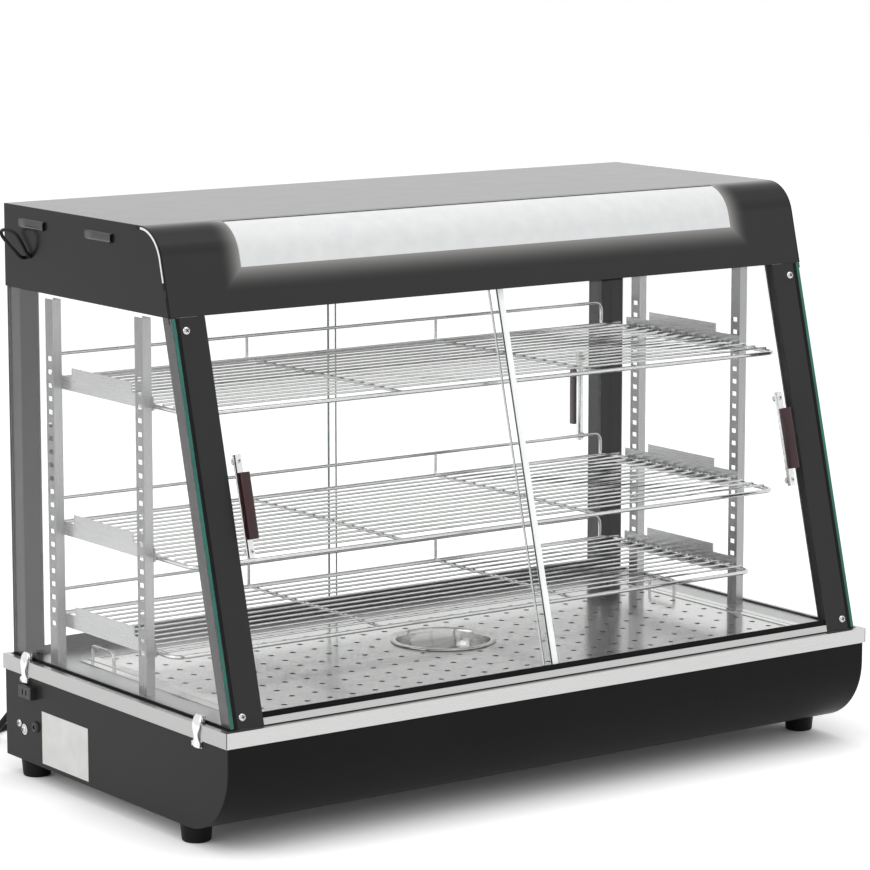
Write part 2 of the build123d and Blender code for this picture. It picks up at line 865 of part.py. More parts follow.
def side_glass():
    right = across(pane_outline(glass_low, glass_high), glass_inner_x, glass_half_width)
    return [right, mirror(right, Plane.YZ)]


def glass_gaskets():
    strip = block(
        glass_inner_x - rest_gap, glass_half_width + gasket / 2, front_y(glass_low) + gasket, rear_glass_y,
        band_top, glass_low
    )
    return [strip, mirror(strip, Plane.YZ)]


def track(half_length):
    # two-groove sliding track along X, lips up, first lip at y = 0
    base = block(-half_length, half_length, 0, track_width, 0, track_base)
    lip = block(-half_length, half_length, 0, track_lip, 0, track_height)
    rib_y = track_lip + groove
    rib = block(-half_length, half_length, rib_y, rib_y + track_rib, 0, track_height)
    return base + lip + rib + Pos(0, track_width - track_lip, 0) * lip


def front_door_tracks():
    half = post_inner_x - fit_gap
    # the track's own y goes into the cabinet, its own z up the slope, or down it at the top
    low = slope * (Pos(0, track_low_u, -track_setback) * Rot(X=-90) * track(half))
    high = slope * (Pos(0, top_track_u, -track_setback - track_width) * Rot(X=90) * track(half))
    return [low, high]


def front_sill_strip():
    half = post_inner_x - fit_gap
    low_u = slope_u(sill_low_z) - post_return
    back_w = -track_setback - track_width
    face = slope_block(-half, half, low_u, sill_top_u, -sill_wall, 0)
    ledge = slope_block(-half, half, sill_top_u - sill_wall, sill_top_u, back_w, 0)
    back = slope_block(-half, half, low_u, sill_top_u, back_w, back_w + sill_wall)
    return (face + ledge + back) & block(-band_width, band_width, -band_depth, 0, sill_low_z, hood_low)


def front_pane(x0, x1, w):
    low_u = track_low_u + track_base + pane_seat
    return slope_block(x0, x1, low_u, top_track_u - track_base - pane_top_gap, w - pane, w)


def door_holes(x, w):
    middle = slope_u(handle_middle_z)
    return [
        slope * rod_z(x, middle + s * handle_screw_spacing / 2, bolt_hole_radius, w - pane - 1, w + 1)
        for s in (-1, 1)
    ]


def front_door_left():
    return front_pane(-front_pane_half, front_meeting_x, outer_pane_w) - door_holes(
        -handle_x, outer_pane_w
    )


def front_door_right():
    return front_pane(front_meeting_x - door_overlap, front_pane_half, inner_pane_w) - door_holes(
        handle_x, inner_pane_w
    )


def bow_handle():
    # local frame: x across, y along, z out of the glass; the back of the feet at z = 0
    half = handle_length / 2
    strip_top = handle_proud
    width = handle_strip_width / 2
    strip = block(-width, width, -half, half, strip_top - handle_strip, strip_top)
    legs = [
        block(-width, width, s * (half - handle_strip / 2) - handle_strip / 2,
              s * (half - handle_strip / 2) + handle_strip / 2, 0, strip_top)
        for s in (-1, 1)
    ]
    feet_low = [
        block(-width, width, *sorted((s * half, s * (half - handle_foot))), 0, handle_strip) for s in (-1, 1)
    ]
    spacing = handle_screw_spacing / 2
    bolts = [rod_z(0, s * spacing, bolt_radius, -pane - nut_reach, 1) for s in (-1, 1)]
    nuts = [
        extrude(
            Pos(0, s * spacing, -pane - nut_reach) * RegularPolygon(nut_flats / 2, 6, major_radius=False),
            nut_reach - grip_slack
        )
        for s in (-1, 1)
    ]
    return strip + legs + feet_low + bolts + nuts


def bow_grip():
    # moulded D-shaped sleeve round the middle of the bow
    half = grip_width / 2
    face = outline([(-half, grip_back), (half, grip_back), (half, grip_proud), (-half, grip_proud)])
    face = fillet(face.vertices().group_by(Axis.Y)[-1], half * 0.85)
    sleeve = Pos(0, grip_length / 2, 0) * extrude(Plane.XZ * face, grip_length)
    width = handle_strip_width / 2 + grip_slack
    slot = block(
        -width, width, -grip_length, grip_length, handle_proud - handle_strip - grip_slack,
        handle_proud + grip_slack
    )
    return sleeve - slot


def on_front(side, w, shape):
    return slope * (Pos(side * handle_x, slope_u(handle_middle_z), w + handle_lift) * shape)


def on_back(side, y, shape):
    return Pos(side * handle_x, y + handle_lift, handle_middle_z) * Rot(X=-90) * shape


def rear_door_tracks():
    half = post_outer_x - post_wall - fit_gap
    low = Pos(0, rear_track_y, band_top + rest_gap) * track(half)
    top = rear_top_track_z + track_height + rear_track_rise
    high = Pos(0, rear_track_y + track_width, top) * Rot(X=180) * track(half)
    return [low, high]


def rear_door(x0, x1, y, side):
    glass = block(x0, x1, y, y + pane, rear_pane_low, rear_pane_high)
    for s in (-1, 1):
        z = handle_middle_z + s * handle_screw_spacing / 2
        glass -= rod_y(side * handle_x, z, bolt_hole_radius, y - 1, y + pane + 1)
    return glass


def slot_z(k):
    return slot_low_z + slot_pitch * k


def shelf_rails():
    # channels open to the rear, slotted through both side walls
    low = band_top + rest_gap
    out = []
    for side in (-1, 1):
        for y in (rail_front_y, rail_back_y):
            x0, x1 = sorted((side * rail_x, side * (rail_x + rail_width)))
            rail = block(x0, x1, y, y + rail_depth, low, rail_top)
            rail -= block(
                x0 + rail_wall, x1 - rail_wall, y + rail_wall, y + rail_depth + 1, low - 1, rail_top + 1
            )
            a, b = x0 - rail_wall, x1 + rail_wall
            slots = [
                block(
                    a, b, y + (rail_depth - slot_width) / 2, y + (rail_depth + slot_width) / 2,
                    slot_z(k) - slot_height / 2, slot_z(k) + slot_height / 2
                )
                for k in range(slot_count)
            ]
            out.append(rail - slots)
    return out


def bracket(k, side):
    # leaf with a raised tab, seat flange for the shelf, and a hook in one slot of each rail
    low = slot_z(k) - bracket_drop
    inner = rail_x - rest_gap - bracket_wall
    front = rail_front_y - bracket_front_reach
    back = rail_back_y + bracket_back_reach
    tab_front = rail_front_y + bracket_tab_front_gap
    tab_back = rail_back_y - bracket_tab_back_gap
    points = [
        (front, low), (back, low), (back, low + bracket_strip),
        (tab_back, low + bracket_strip),
        (tab_back, low + bracket_tab), (tab_front, low + bracket_tab),
        (tab_front, low + bracket_strip), (front, low + bracket_strip),
    ]
    leaf = across(outline(points), inner, inner + bracket_wall)
    shelf_seat = block(
        inner - bracket_flange, inner + rest_gap / 2, front + seat_inset, back - seat_inset,
        low, low + bracket_wall
    )
    hooks = []
    half = slot_width / 2 - hook_slack
    for y in (rail_front_y, rail_back_y):
        middle = y + rail_depth / 2
        hooks.append(
            block(
                inner + rest_gap, rail_x + rail_wall + hook_reach, middle - half, middle + half,
                slot_z(k) - slot_height / 2 + fit_gap, slot_z(k) + hook_slack
            )
        )
    right = leaf + shelf_seat + hooks
    return right if side > 0 else mirror(right, Plane.YZ)


def shelf_brackets():
    return [bracket(k, side) for k in bracket_slots for side in (-1, 1)]


def shelf(k, front):
    # rod frame with cross rods and wires along X welded on top; the guard rail stands on its back rod
    z = slot_z(k) - bracket_drop + bracket_wall + shelf_rest + frame_rod / 2
    x = shelf_half_width - frame_rod / 2
    y0 = front + frame_rod / 2
    y1 = shelf_back_y - frame_rod / 2
    corners = [(-x, y0, z), (x, y0, z), (x, y1, z), (-x, y1, z)]
    frame = bent_rod(FilletPolyline(*corners, radius=shelf_corner, close=True), frame_rod / 2)
    cross_z = z + (frame_rod - cross_rod) / 2
    cross = [
        bent_rod(Line((s * cross_rod_x, y0, cross_z), (s * cross_rod_x, y1, cross_z)), cross_rod / 2)
        for s in (-1, 1)
    ]
    wire_z = z + frame_rod / 2 + wire_rod / 2 - weld_sink
    count = int((y1 - y0) / wire_pitch)
    pitch = (y1 - y0) / (count + 1)
    side = wire_rod * math.sqrt(math.pi) / 2
    wires = [
        block(
            -x, x, y0 + pitch * (i + 1) - side / 2, y0 + pitch * (i + 1) + side / 2,
            wire_z - side / 2, wire_z + side / 2
        )
        for i in range(count)
    ]
    foot = z + frame_rod / 2
    top = z + guard_height
    end_x = x - shelf_corner
    rail_points = [(-end_x, y1, foot), (-end_x, y1, top), (end_x, y1, top), (end_x, y1, foot)]
    guard = bent_rod(FilletPolyline(*rail_points, radius=guard_corner), cross_rod / 2)
    struts = [
        bent_rod(Line((s * cross_rod_x, y1, foot), (s * cross_rod_x, y1, top)), cross_rod / 2)
        for s in (-1, 1)
    ]
    return [frame + cross + wires, guard + struts]


def hood_outline(inset):
    # side view of the hood: flat top, rounded bend, slanted front, open below
    low = hood_low - 2 * inset
    top = hood_top - inset
    back = rear_glass_y - inset
    face = outline(
        [(front_y(low, -inset), low), (back, low), (back, top), (front_y(top, -inset), top)]
    )
    corner = face.vertices().sort_by(lambda v: v.Y - v.X)[-1]
    return fillet(corner, hood_radius - inset)


def bend_centre():
    y = front_y(hood_top) + hood_radius * math.tan((math.pi / 2 - slant) / 2)
    return y, hood_top - hood_radius


def lens_wedge(slack=0.0):
    # the sector of the bend that the lens fills
    y, z = bend_centre()
    far = hood_radius * 2
    turns = [lens_start_turn, (lens_start_turn + lens_end_turn) / 2, lens_end_turn]
    points = [(y - far * math.sin(math.radians(t)), z + far * math.cos(math.radians(t))) for t in turns]
    wedge = outline([(y, z)] + points)
    half = lens_half_width + slack
    return across(wedge, -half, half)


def hood_cover():
    shell = across(hood_outline(0) - hood_outline(hood_wall), -hood_inner_half, hood_inner_half)
    return shell - lens_wedge(lens_gap)


def hood_sides():
    inner = hood_half_width - hood_wall
    right = across(hood_outline(0), inner, hood_half_width)
    louvre_back = rear_glass_y - louvre_back_inset - louvre_length
    louvre_z = hood_top - louvre_drop
    for y in (louvre_back, louvre_back - louvre_spacing):
        right -= block(
            inner - hood_wall, hood_half_width + hood_wall, y, y + louvre_slit,
            louvre_z - louvre_height / 2, louvre_z + louvre_height / 2
        )
    return [right, mirror(right, Plane.YZ)]


def hood_underside():
    # tray-shaped sheet between the front and the rear tracks
    front_w = -track_setback - track_width - fit_gap
    front = front_y(hood_low, front_w)
    back = rear_track_y - fit_gap
    top = hood_low + hood_flange
    face = outline(
        [(front, hood_low), (back, hood_low), (back, top), (back - hood_wall, top),
         (back - hood_wall, hood_low + hood_wall), (front + hood_wall, hood_low + hood_wall),
         (front_y(top, front_w) + hood_wall, top), (front_y(top, front_w), top)]
    )
    return across(face, -hood_inner_half, hood_inner_half)


def light_lens():
    half = lens_half_width - lens_gap
    return across(hood_outline(0) - hood_outline(lens_wall), -half, half) & lens_wedge()


def lamp_tube():
    glass = rod_x(lamp_y, lamp_z, lamp_radius, -lamp_half_length, lamp_half_length)
    caps = []
    for s in (-1, 1):
        x0, x1 = sorted((s * lamp_half_length, s * (lamp_half_length + lamp_cap)))
        caps.append(
            block(
                x0, x1, lamp_y - lamp_cap_half, lamp_y + lamp_cap_half,
                hood_low + hood_wall + rest_gap, lamp_z + lamp_cap_half
            )
        )
    return [glass] + caps


def side_socket():
    x1 = -half_x
    x0 = x1 - socket_proud
    y1 = band_depth / 2 - socket_inset
    y0 = y1 - socket_length
    low = band_top - socket_drop
    case = block(x0, x1, y0, y1, low, low + socket_height)
    case = chamfer(case.edges().group_by(Axis.X)[0], 0.8)
    rim = socket_height * 0.28
    for along in socket_slots:
        y = y0 + along
        case -= block(x0 - 1, x0 + socket_proud / 2, y - 1.2, y + 1.2, low + rim, low + socket_height - rim)
    return case


def latch_positions():
    return [(side, y) for side in (-1, 1) for y in latch_ys]


def latch_plate():
    # local frame: x out of the side panel, y along it, z = height
    half = latch_width / 2
    low = latch_pivot_z - latch_barrel_radius * 1.6
    plate = block(0, latch_sheet, -half, half, low, band_low - 2 * rest_gap)
    out = latch_pivot_out + 2 * latch_pin_radius
    ears = [
        block(0, out, *sorted((s * half, s * (half - latch_sheet))), latch_pivot_z - latch_ear,
              latch_pivot_z + latch_ear)
        for s in (-1, 1)
    ]
    pin = rod_y(latch_pivot_out, latch_pivot_z, latch_pin_radius, -half, half)
    return plate + ears + pin


def latch_strike():
    # hooked tab of the glass cabin, standing on the band's ledge
    half = latch_width / 2 - latch_sheet - fit_gap
    back = glass_half_width - half_x + gasket / 2 + rest_gap / 4
    reach = back + latch_width / 2
    foot = block(back, reach, -half, half, band_top, band_top + latch_sheet)
    leaf = block(back, back + latch_sheet, -half, half, band_top, latch_strike_z)
    lip = block(back, reach, -half, half, latch_strike_z - latch_sheet, latch_strike_z)
    return foot + leaf + lip


def latch_lever():
    # curled barrel on the pin, leaf bowed round the band and hooked over the strike
    half = latch_width / 2 - latch_sheet - fit_gap
    barrel = rod_y(latch_pivot_out, latch_pivot_z, latch_barrel_radius, -half, half)
    reach = latch_reach - latch_sheet / 2
    over_z = latch_strike_z + fit_gap + latch_sheet / 2
    spine = FilletPolyline(
        (latch_pivot_out + 1.9, latch_pivot_z), (latch_pivot_out + 2.6, latch_pivot_z + 5),
        (reach, latch_pivot_z + 12.5), (reach - 4.5, latch_pivot_z + 21), (1.5, over_z), (-4.5, over_z),
        radius=latch_bend
    )
    leaf = extrude(Plane.XZ.offset(-half) * trace(spine, latch_sheet), 2 * half)
    return barrel + leaf - rod_y(
        latch_pivot_out, latch_pivot_z, latch_pin_radius + shaft_clearance, -half - 1, half + 1
    )


def on_side(side, y, shape):
    turn = Rot(Z=180) if side < 0 else Rot(Z=0)
    return Pos(side * half_x, y, 0) * turn * shape


def case_screws():
    out = []
    for side in (-1, 1):
        for z in post_screw_zs:
            out.append(screw(slope * Pos(side * post_screw_x, slope_u(z), 0)))
    out += [screw(Pos(x, plate_face, z) * Rot(X=-90)) for x, z in plate_screws]
    for inset, z in side_screw_places:
        out.append(Pos(-half_x, band_depth / 2 - inset, z) * Rot(Y=-90) * screw_head())
    return out


def biarc(p0, t0, p1, t1):
    # two arcs that leave p0 along t0 and reach p1 along t1
    chord = p1 - p0
    both = t0 + t1
    a = 2 * (1 - t0.dot(t1))
    b = 2 * chord.dot(both)
    c = -chord.dot(chord)
    reach = -c / b if abs(a) < 1e-9 else (-b + math.sqrt(b * b - 4 * a * c)) / (2 * a)
    joint = ((p0 + t0 * reach) + (p1 - t1 * reach)) * 0.5
    first = TangentArc(p0, joint, tangent=t0)
    return [first, TangentArc(joint, p1, tangent=first % 1)]


def coil_path():
    # spiral in on the floor, climb one layer in a half turn, spiral out on top
    stations = []
    for k in range(2 * coil_half_turns + 2):
        step = k if k <= coil_half_turns else 2 * coil_half_turns + 1 - k
        radius = coil_outer_radius - step * coil_pitch / 2
        way = 1 if k % 2 == 0 else -1
        z = cord_route[-1][2] + (0 if k <= coil_half_turns else coil_layer)
        stations.append((Vector(coil_x, coil_y + way * radius, z), Vector(way, 0, 0)))
    start, along = stations[0]
    edges = [Line(start - along * cord, start)]
    for (p0, t0), (p1, t1) in zip(stations, stations[1:]):
        edges += biarc(p0, t0, p1, t1)
    end, along = stations[-1]
    rise = Vector(end.X + along.X * plug_rise, end.Y, plug_axis_z)
    edges += biarc(end, along, rise, along)
    edges.append(Line(rise, rise + along * cord))
    return edges


def least_gap(edges, diameter):
    # closest approach of the tube to itself, on points 2 mm apart, away from each point's own bend
    points = []
    travelled = 0.0
    for edge in edges:
        count = max(2, int(edge.length / 2))
        for i in range(count):
            points.append((edge @ (i / count), travelled + edge.length * i / count))
        travelled += edge.length
    nearest = 1e9
    for i, (p, s) in enumerate(points):
        for q, t in points[i + 1:]:
            if t - s > 60:
                nearest = min(nearest, (p - q).length)
    return nearest - diameter


def cord_coil():
    edges = coil_path()
    path = Wire(edges)
    solid = tube(path, cord / 2)
    expected = math.pi * cord**2 / 4 * path.length
    print("cord_coil length", round(path.length, 1), "least gap", round(least_gap(edges, cord), 2))
    print("cord_coil volume", round(solid.volume, 1), "section x length", round(expected, 1))
    return solid


def power_plug():
    # round earthed plug lying on its side, pins pointing away from the cord
    end_x = coil_x - plug_rise - cord
    y = coil_y - coil_outer_radius
    long = plug_length
    profile = outline(
        [(0, 0), (4.6, 0), (7.2, long * 0.36), (10.5, long * 0.41), (12.5, long * 0.58), (17.2, long * 0.79),
         (plug_radius, long * 0.88), (plug_radius, long), (0, long)]
    )
    body = revolve(Plane.XZ * profile, Axis.Z)
    pin_z = long + pin_length / 2 - 1
    pins = [Pos(0, s * pin_spacing / 2, pin_z) * Cylinder(pin_radius, pin_length) for s in (-1, 1)]
    return Pos(end_x, y, plug_axis_z) * Rot(Y=-90) * (body + pins)


def save(name, shapes):
    shapes = shapes if isinstance(shapes, (list, tuple)) else [shapes]
    solids = [solid for shape in shapes for solid in shape.solids()]
    export_step(Compound(solids).moved(Pos(0, -middle_y, 0)), f"parts/{name}.step")


nodes = {
    "base_front_sheet": base_front_sheet(),
    "base_sides": base_sides(),
    "base_back_panel": base_back_panel(),
    "base_bottom_plate": base_bottom_plate(),
    "feet": feet(),
    "trim_band": trim_band(),
    "floor_pan": floor_pan(),
    "perforated_tray": perforated_tray(),
    "water_bowl": water_bowl(),
    "heating_element": heating_element(),
    "thermostat": thermostat(),
    "terminal_block": terminal_block(),
    "control_plate": control_plate(),
    "temperature_dial": temperature_dial(),
    "switch_housings": switch_housings(),
    "light_switch_rocker": rocker(light_switch_x, light_switch_half_width),
    "power_switch_rocker": rocker(power_switch_x, power_switch_half_width),
    "pilot_lamp_red": pilot_lamp(lamp_red_x),
    "pilot_lamp_green": pilot_lamp(lamp_green_x),
    "cable_gland": cable_gland(),
    "power_cord": cord_tube("power_cord", cord_route, cord),
    "cord_coil": cord_coil(),
    "power_plug": power_plug(),
    "front_posts": front_posts(),
    "rear_posts": rear_posts(),
    "side_glass": side_glass(),
    "glass_gaskets": glass_gaskets(),
    "case_screws": case_screws(),
    "front_door_tracks": front_door_tracks(),
    "rear_door_tracks": rear_door_tracks(),
    "front_sill_strip": front_sill_strip(),
    "front_door_left": front_door_left(),
    "front_door_right": front_door_right(),
    "rear_door_left": rear_door(-rear_door_half_width, rear_meeting_x, inner_rear_y, -1),
    "rear_door_right": rear_door(
        rear_meeting_x - door_overlap, rear_door_half_width, outer_rear_y, 1
    ),
    "front_handle_left": on_front(-1, outer_pane_w, bow_handle()),
    "front_handle_right": on_front(1, inner_pane_w, bow_handle()),
    "front_grip_left": on_front(-1, outer_pane_w, bow_grip()),
    "front_grip_right": on_front(1, inner_pane_w, bow_grip()),
    "rear_handle_left": on_back(-1, inner_rear_y + pane, bow_handle()),
    "rear_handle_right": on_back(1, outer_rear_y + pane, bow_handle()),
    "rear_grip_left": on_back(-1, inner_rear_y + pane, bow_grip()),
    "rear_grip_right": on_back(1, outer_rear_y + pane, bow_grip()),
    "shelf_rails": shelf_rails(),
    "shelf_brackets": shelf_brackets(),
    "shelf_top": shelf(bracket_slots[0], shelf_front_y),
    "shelf_middle": shelf(bracket_slots[1], shelf_front_y),
    "shelf_bottom": shelf(bracket_slots[2], low_shelf_front_y),
    "hood_cover": hood_cover(),
    "hood_sides": hood_sides(),
    "hood_underside": hood_underside(),
    "light_lens": light_lens(),
    "lamp_tube": lamp_tube(),
    "lamp_lead": cord_tube("lamp_lead", lead_route, lead),
    "side_socket": side_socket(),
    "latch_plates": [on_side(s, y, latch_plate()) for s, y in latch_positions()]
    + [on_side(s, y, latch_strike()) for s, y in latch_positions()],
}
for (side, y), place in zip(latch_positions(), ("left_rear", "left_front", "right_rear", "right_front")):
    nodes[f"latch_lever_{place}"] = on_side(side, y, latch_lever())

for name, shapes in nodes.items():
    save(name, shapes)
print(len(nodes), "nodes, middle_y", middle_y)
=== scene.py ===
import bmesh
import bpy
import math
from mathutils import Matrix, Vector


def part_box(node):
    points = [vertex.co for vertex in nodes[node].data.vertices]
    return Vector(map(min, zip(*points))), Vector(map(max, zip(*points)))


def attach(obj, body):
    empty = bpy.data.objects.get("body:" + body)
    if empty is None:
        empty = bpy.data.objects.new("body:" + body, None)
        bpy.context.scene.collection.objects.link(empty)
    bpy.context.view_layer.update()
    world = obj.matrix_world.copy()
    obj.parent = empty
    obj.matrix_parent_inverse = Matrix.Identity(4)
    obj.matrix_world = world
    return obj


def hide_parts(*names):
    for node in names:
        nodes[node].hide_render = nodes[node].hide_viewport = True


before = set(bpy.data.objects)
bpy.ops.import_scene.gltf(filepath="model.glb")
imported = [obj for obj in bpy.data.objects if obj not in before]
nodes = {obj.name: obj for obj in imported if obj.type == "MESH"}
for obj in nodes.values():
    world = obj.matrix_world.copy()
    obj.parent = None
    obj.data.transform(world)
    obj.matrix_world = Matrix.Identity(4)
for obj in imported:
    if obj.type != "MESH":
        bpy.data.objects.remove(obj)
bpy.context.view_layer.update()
print("frame loaded:", len(nodes), "nodes")

# Values are millimetres, from the middle of the trim band on the floor; spot() turns them into scene metres
cabinet = {
    "bandMiddle": 12.4,  # how far the scene's origin lies behind it
    "slopeY": -231.0,
    "slopeZ": 141.0,
    "slopeTurn": 14.449,
    "handleX": 381.0,
    "handleZ": 365.0,
    "leftPaneW": -3.5,
    "rightPaneW": -9.5,
    "sideX": 447.8,
    "plateY": 238.8,
}


def spot(x, y, z):
    return Vector((x, y - cabinet["bandMiddle"], z)) * 0.001


slopeFrame = Matrix.Translation(spot(0, cabinet["slopeY"], cabinet["slopeZ"])) @ Matrix.Rotation(
    math.radians(90 - cabinet["slopeTurn"]), 4, "X"
)
slopeCos = math.cos(math.radians(cabinet["slopeTurn"]))


def slopeU(z):
    return (z - cabinet["slopeZ"]) / slopeCos


def onSlope(x, z, w):  # a place on the slanted front, w millimetres out of it
    return slopeFrame @ Matrix.Translation(Vector((x, slopeU(z), w)) * 0.001)


def onBack(x, z, out=0.0):  # faces +Y, with its own up along Z
    turn = Matrix(((-1, 0, 0, 0), (0, 0, 1, 0), (0, 1, 0, 0), (0, 0, 0, 1)))
    return Matrix.Translation(spot(x, cabinet["plateY"] + out, z)) @ turn


def onLeft(y, z, out=0.0):  # faces -X
    turn = Matrix(((0, 0, -1, 0), (-1, 0, 0, 0), (0, 1, 0, 0), (0, 0, 0, 1)))
    return Matrix.Translation(spot(-cabinet["sideX"] - out, y, z)) @ turn


def addObject(name, data):
    made = bpy.data.objects.new(name, data)
    bpy.context.scene.collection.objects.link(made)
    return made


def sideSpan(side, first, second):  # both places on one side of the middle, the lower first
    return sorted((side * first, side * second))


bandPlace = Matrix.Translation(spot(0, 0, 0))

# Camera at the photograph's place
shot = {"place": (-2.4995, -3.4850, 1.0865), "turn": -35.657, "pitch": 9.343, "lens": 154.455}


def setCamera():
    camera = addObject("shotCamera", bpy.data.cameras.new("shotCamera"))
    camera.location = shot["place"]
    camera.rotation_euler = (math.radians(90 - shot["pitch"]), 0, math.radians(shot["turn"]))
    camera.data.lens = shot["lens"]
    camera.data.sensor_width = 36
    camera.data.clip_end = 30
    bpy.context.scene.camera = camera


setCamera()
print("camera set")


# Material building blocks
def startMaterial(name, color=(0.8, 0.8, 0.8), metallic=0.0, roughness=0.5):
    material = bpy.data.materials.new(name)
    material.use_nodes = True
    tree = material.node_tree
    shader = tree.nodes["Principled BSDF"]
    shader.inputs["Base Color"].default_value = (*color, 1)
    shader.inputs["Metallic"].default_value = metallic
    shader.inputs["Roughness"].default_value = roughness
    material.diffuse_color = (*color, 1)
    return material, tree, shader


def objectPlaces(tree, stretch=(1, 1, 1)):
    coords = tree.nodes.new("ShaderNodeTexCoord")
    mapping = tree.nodes.new("ShaderNodeMapping")
    mapping.inputs["Scale"].default_value = stretch
    tree.links.new(coords.outputs["Object"], mapping.inputs["Vector"])
    return mapping.outputs["Vector"]


def noise(tree, scale, stretch=(1, 1, 1), detail=3.0):
    texture = tree.nodes.new("ShaderNodeTexNoise")
    texture.inputs["Scale"].default_value = scale
    texture.inputs["Detail"].default_value = detail
    tree.links.new(objectPlaces(tree, stretch), texture.inputs["Vector"])
    return texture.outputs["Fac"]


def spread(tree, source, low, high, fromLow=0.3, fromHigh=0.7):
    node = tree.nodes.new("ShaderNodeMapRange")
    node.inputs["From Min"].default_value = fromLow
    node.inputs["From Max"].default_value = fromHigh
    node.inputs["To Min"].default_value = low
    node.inputs["To Max"].default_value = high
    tree.links.new(source, node.inputs["Value"])
    return node.outputs["Result"]


def blendColors(tree, source, first, second, fromLow=0.3, fromHigh=0.7):
    mix = tree.nodes.new("ShaderNodeMix")
    mix.data_type = "RGBA"
    mix.inputs["A"].default_value = (*first, 1)
    mix.inputs["B"].default_value = (*second, 1)
    tree.links.new(spread(tree, source, 0, 1, fromLow, fromHigh), mix.inputs["Factor"])
    return mix.outputs["Result"]


def roundedNormal(tree, radius):
    node = tree.nodes.new("ShaderNodeBevel")
    node.samples = 4
    node.inputs["Radius"].default_value = radius
    return node.outputs["Normal"]


def calculate(tree, operation, *values):
    node = tree.nodes.new("ShaderNodeMath")
    node.operation = operation
    for socket, value in zip(node.inputs, values):
        if isinstance(value, float):
            socket.default_value = value
        else:
            tree.links.new(value, socket)
    return node.outputs[0]


def axisPart(tree, source, axis):
    parts = tree.nodes.new("ShaderNodeSeparateXYZ")
    tree.links.new(source, parts.inputs["Vector"])
    return parts.outputs[axis]


def placeAlong(tree, axis):
    return axisPart(tree, objectPlaces(tree), axis)


def facing(tree, axis):  # how far a face is turned along an axis, -1 to 1
    return axisPart(tree, tree.nodes.new("ShaderNodeNewGeometry").outputs["Normal"], axis)


def facingEither(tree, axis):
    return calculate(tree, "ABSOLUTE", facing(tree, axis))


def darken(material, measure, axis, amount, fromLow, fromHigh):
    # painted shade: the base colour times the amount, fading in as the measure goes from fromLow to fromHigh
    tree = material.node_tree
    base = tree.nodes["Principled BSDF"].inputs["Base Color"]
    mix = tree.nodes.new("ShaderNodeMix")
    mix.data_type = "RGBA"
    mix.blend_type = "MULTIPLY"
    mix.inputs["B"].default_value = (amount, amount, amount, 1)
    before = base.links[0].from_socket
    tree.links.new(spread(tree, measure(tree, axis), 0, 1, fromLow, fromHigh), mix.inputs["Factor"])
    tree.links.new(before, mix.inputs["A"])
    tree.links.new(mix.outputs["Result"], base)
    return material


def grainBump(tree, shader, source, depth, strength=1.0, edge=0.0):
    node = tree.nodes.new("ShaderNodeBump")
    node.inputs["Strength"].default_value = strength
    node.inputs["Distance"].default_value = depth
    tree.links.new(source, node.inputs["Height"])
    if edge:
        tree.links.new(roundedNormal(tree, edge), node.inputs["Normal"])
    tree.links.new(node.outputs["Normal"], shader.inputs["Normal"])


def mottle(tree, shader, cloud, dark, light, roughCloud, rough):
    tree.links.new(blendColors(tree, cloud, dark, light), shader.inputs["Base Color"])
    tree.links.new(spread(tree, roughCloud, *rough), shader.inputs["Roughness"])


def powderCoat(name, dark, light, rough=(0.32, 0.33), coat=1.0):  # greys with a slight blue cast
    dark, light = ((grey, grey, grey + 0.0005) for grey in (dark, light))
    material, tree, shader = startMaterial(name, dark, 0, rough[0])
    mottle(tree, shader, noise(tree, 7), dark, light, noise(tree, 30), rough)
    shader.inputs["Specular IOR Level"].default_value = 0.06
    shader.inputs["Coat Weight"].default_value = coat
    shader.inputs["Coat IOR"].default_value = 1.2
    shader.inputs["Coat Roughness"].default_value = 0.18
    tree.links.new(roundedNormal(tree, 0.0006), shader.inputs["Normal"])
    return material


hoodGlow = {
    "halfLength": 0.343,
    "low": 0.613,
    "back": -0.0838,
    "backFalloff": 3.0,
    "reach": 0.026,
    "power": 2.2,
    "strength": 0.26,
    "bendHeights": (0.62, 0.66),
    "paintedBendReflection": ((0.2, 1.0), (0.35, 0.1), (0.5, 0.3), (0.575, 0.5), (0.67, 0.2), (0.775, 0.04), (0.9, 0.3),
                 (0.97, 0.8)),
}


# painted glow: the black sheet emits light round the lens; painted reflection: the coat weight drops in bands
# along the bend, giving darker bands
def litCoat(name):  # the hood's black coat: soft light round the lens, darker bands along the bend
    material = powderCoat(name, 0.038, 0.041, (0.29, 0.31))
    tree = material.node_tree
    shader = tree.nodes["Principled BSDF"]
    across = calculate(tree, "ABSOLUTE", placeAlong(tree, "X"))
    aside = calculate(tree, "SUBTRACT", across, hoodGlow["halfLength"])
    below = calculate(tree, "SUBTRACT", hoodGlow["low"], placeAlong(tree, "Z"))
    falloff = hoodGlow["backFalloff"]
    behind = calculate(tree, "MULTIPLY_ADD", placeAlong(tree, "Y"), falloff, -hoodGlow["back"] * falloff)
    away = calculate(tree, "MAXIMUM", calculate(tree, "MAXIMUM", aside, below), behind)
    near = calculate(tree, "POWER", spread(tree, away, 1, 0, 0.0, hoodGlow["reach"]), hoodGlow["power"])
    glow = calculate(tree, "MULTIPLY", near, hoodGlow["strength"])
    tree.links.new(glow, shader.inputs["Emission Strength"])
    shader.inputs["Emission Color"].default_value = (1, 0.99, 0.96, 1)
    bend = tree.nodes.new("ShaderNodeValToRGB")
    elements = bend.color_ramp.elements
    elements.remove(elements[1])
    elements[0].color = (1, 1, 1, 1)
    for place, weight in hoodGlow["paintedBendReflection"]:
        elements.new(place).color = (weight, weight, weight, 1)
    tree.links.new(spread(tree, placeAlong(tree, "Z"), 0, 1, *hoodGlow["bendHeights"]), bend.inputs["Fac"])
    tree.links.new(bend.outputs["Color"], shader.inputs["Coat Weight"])
    return material


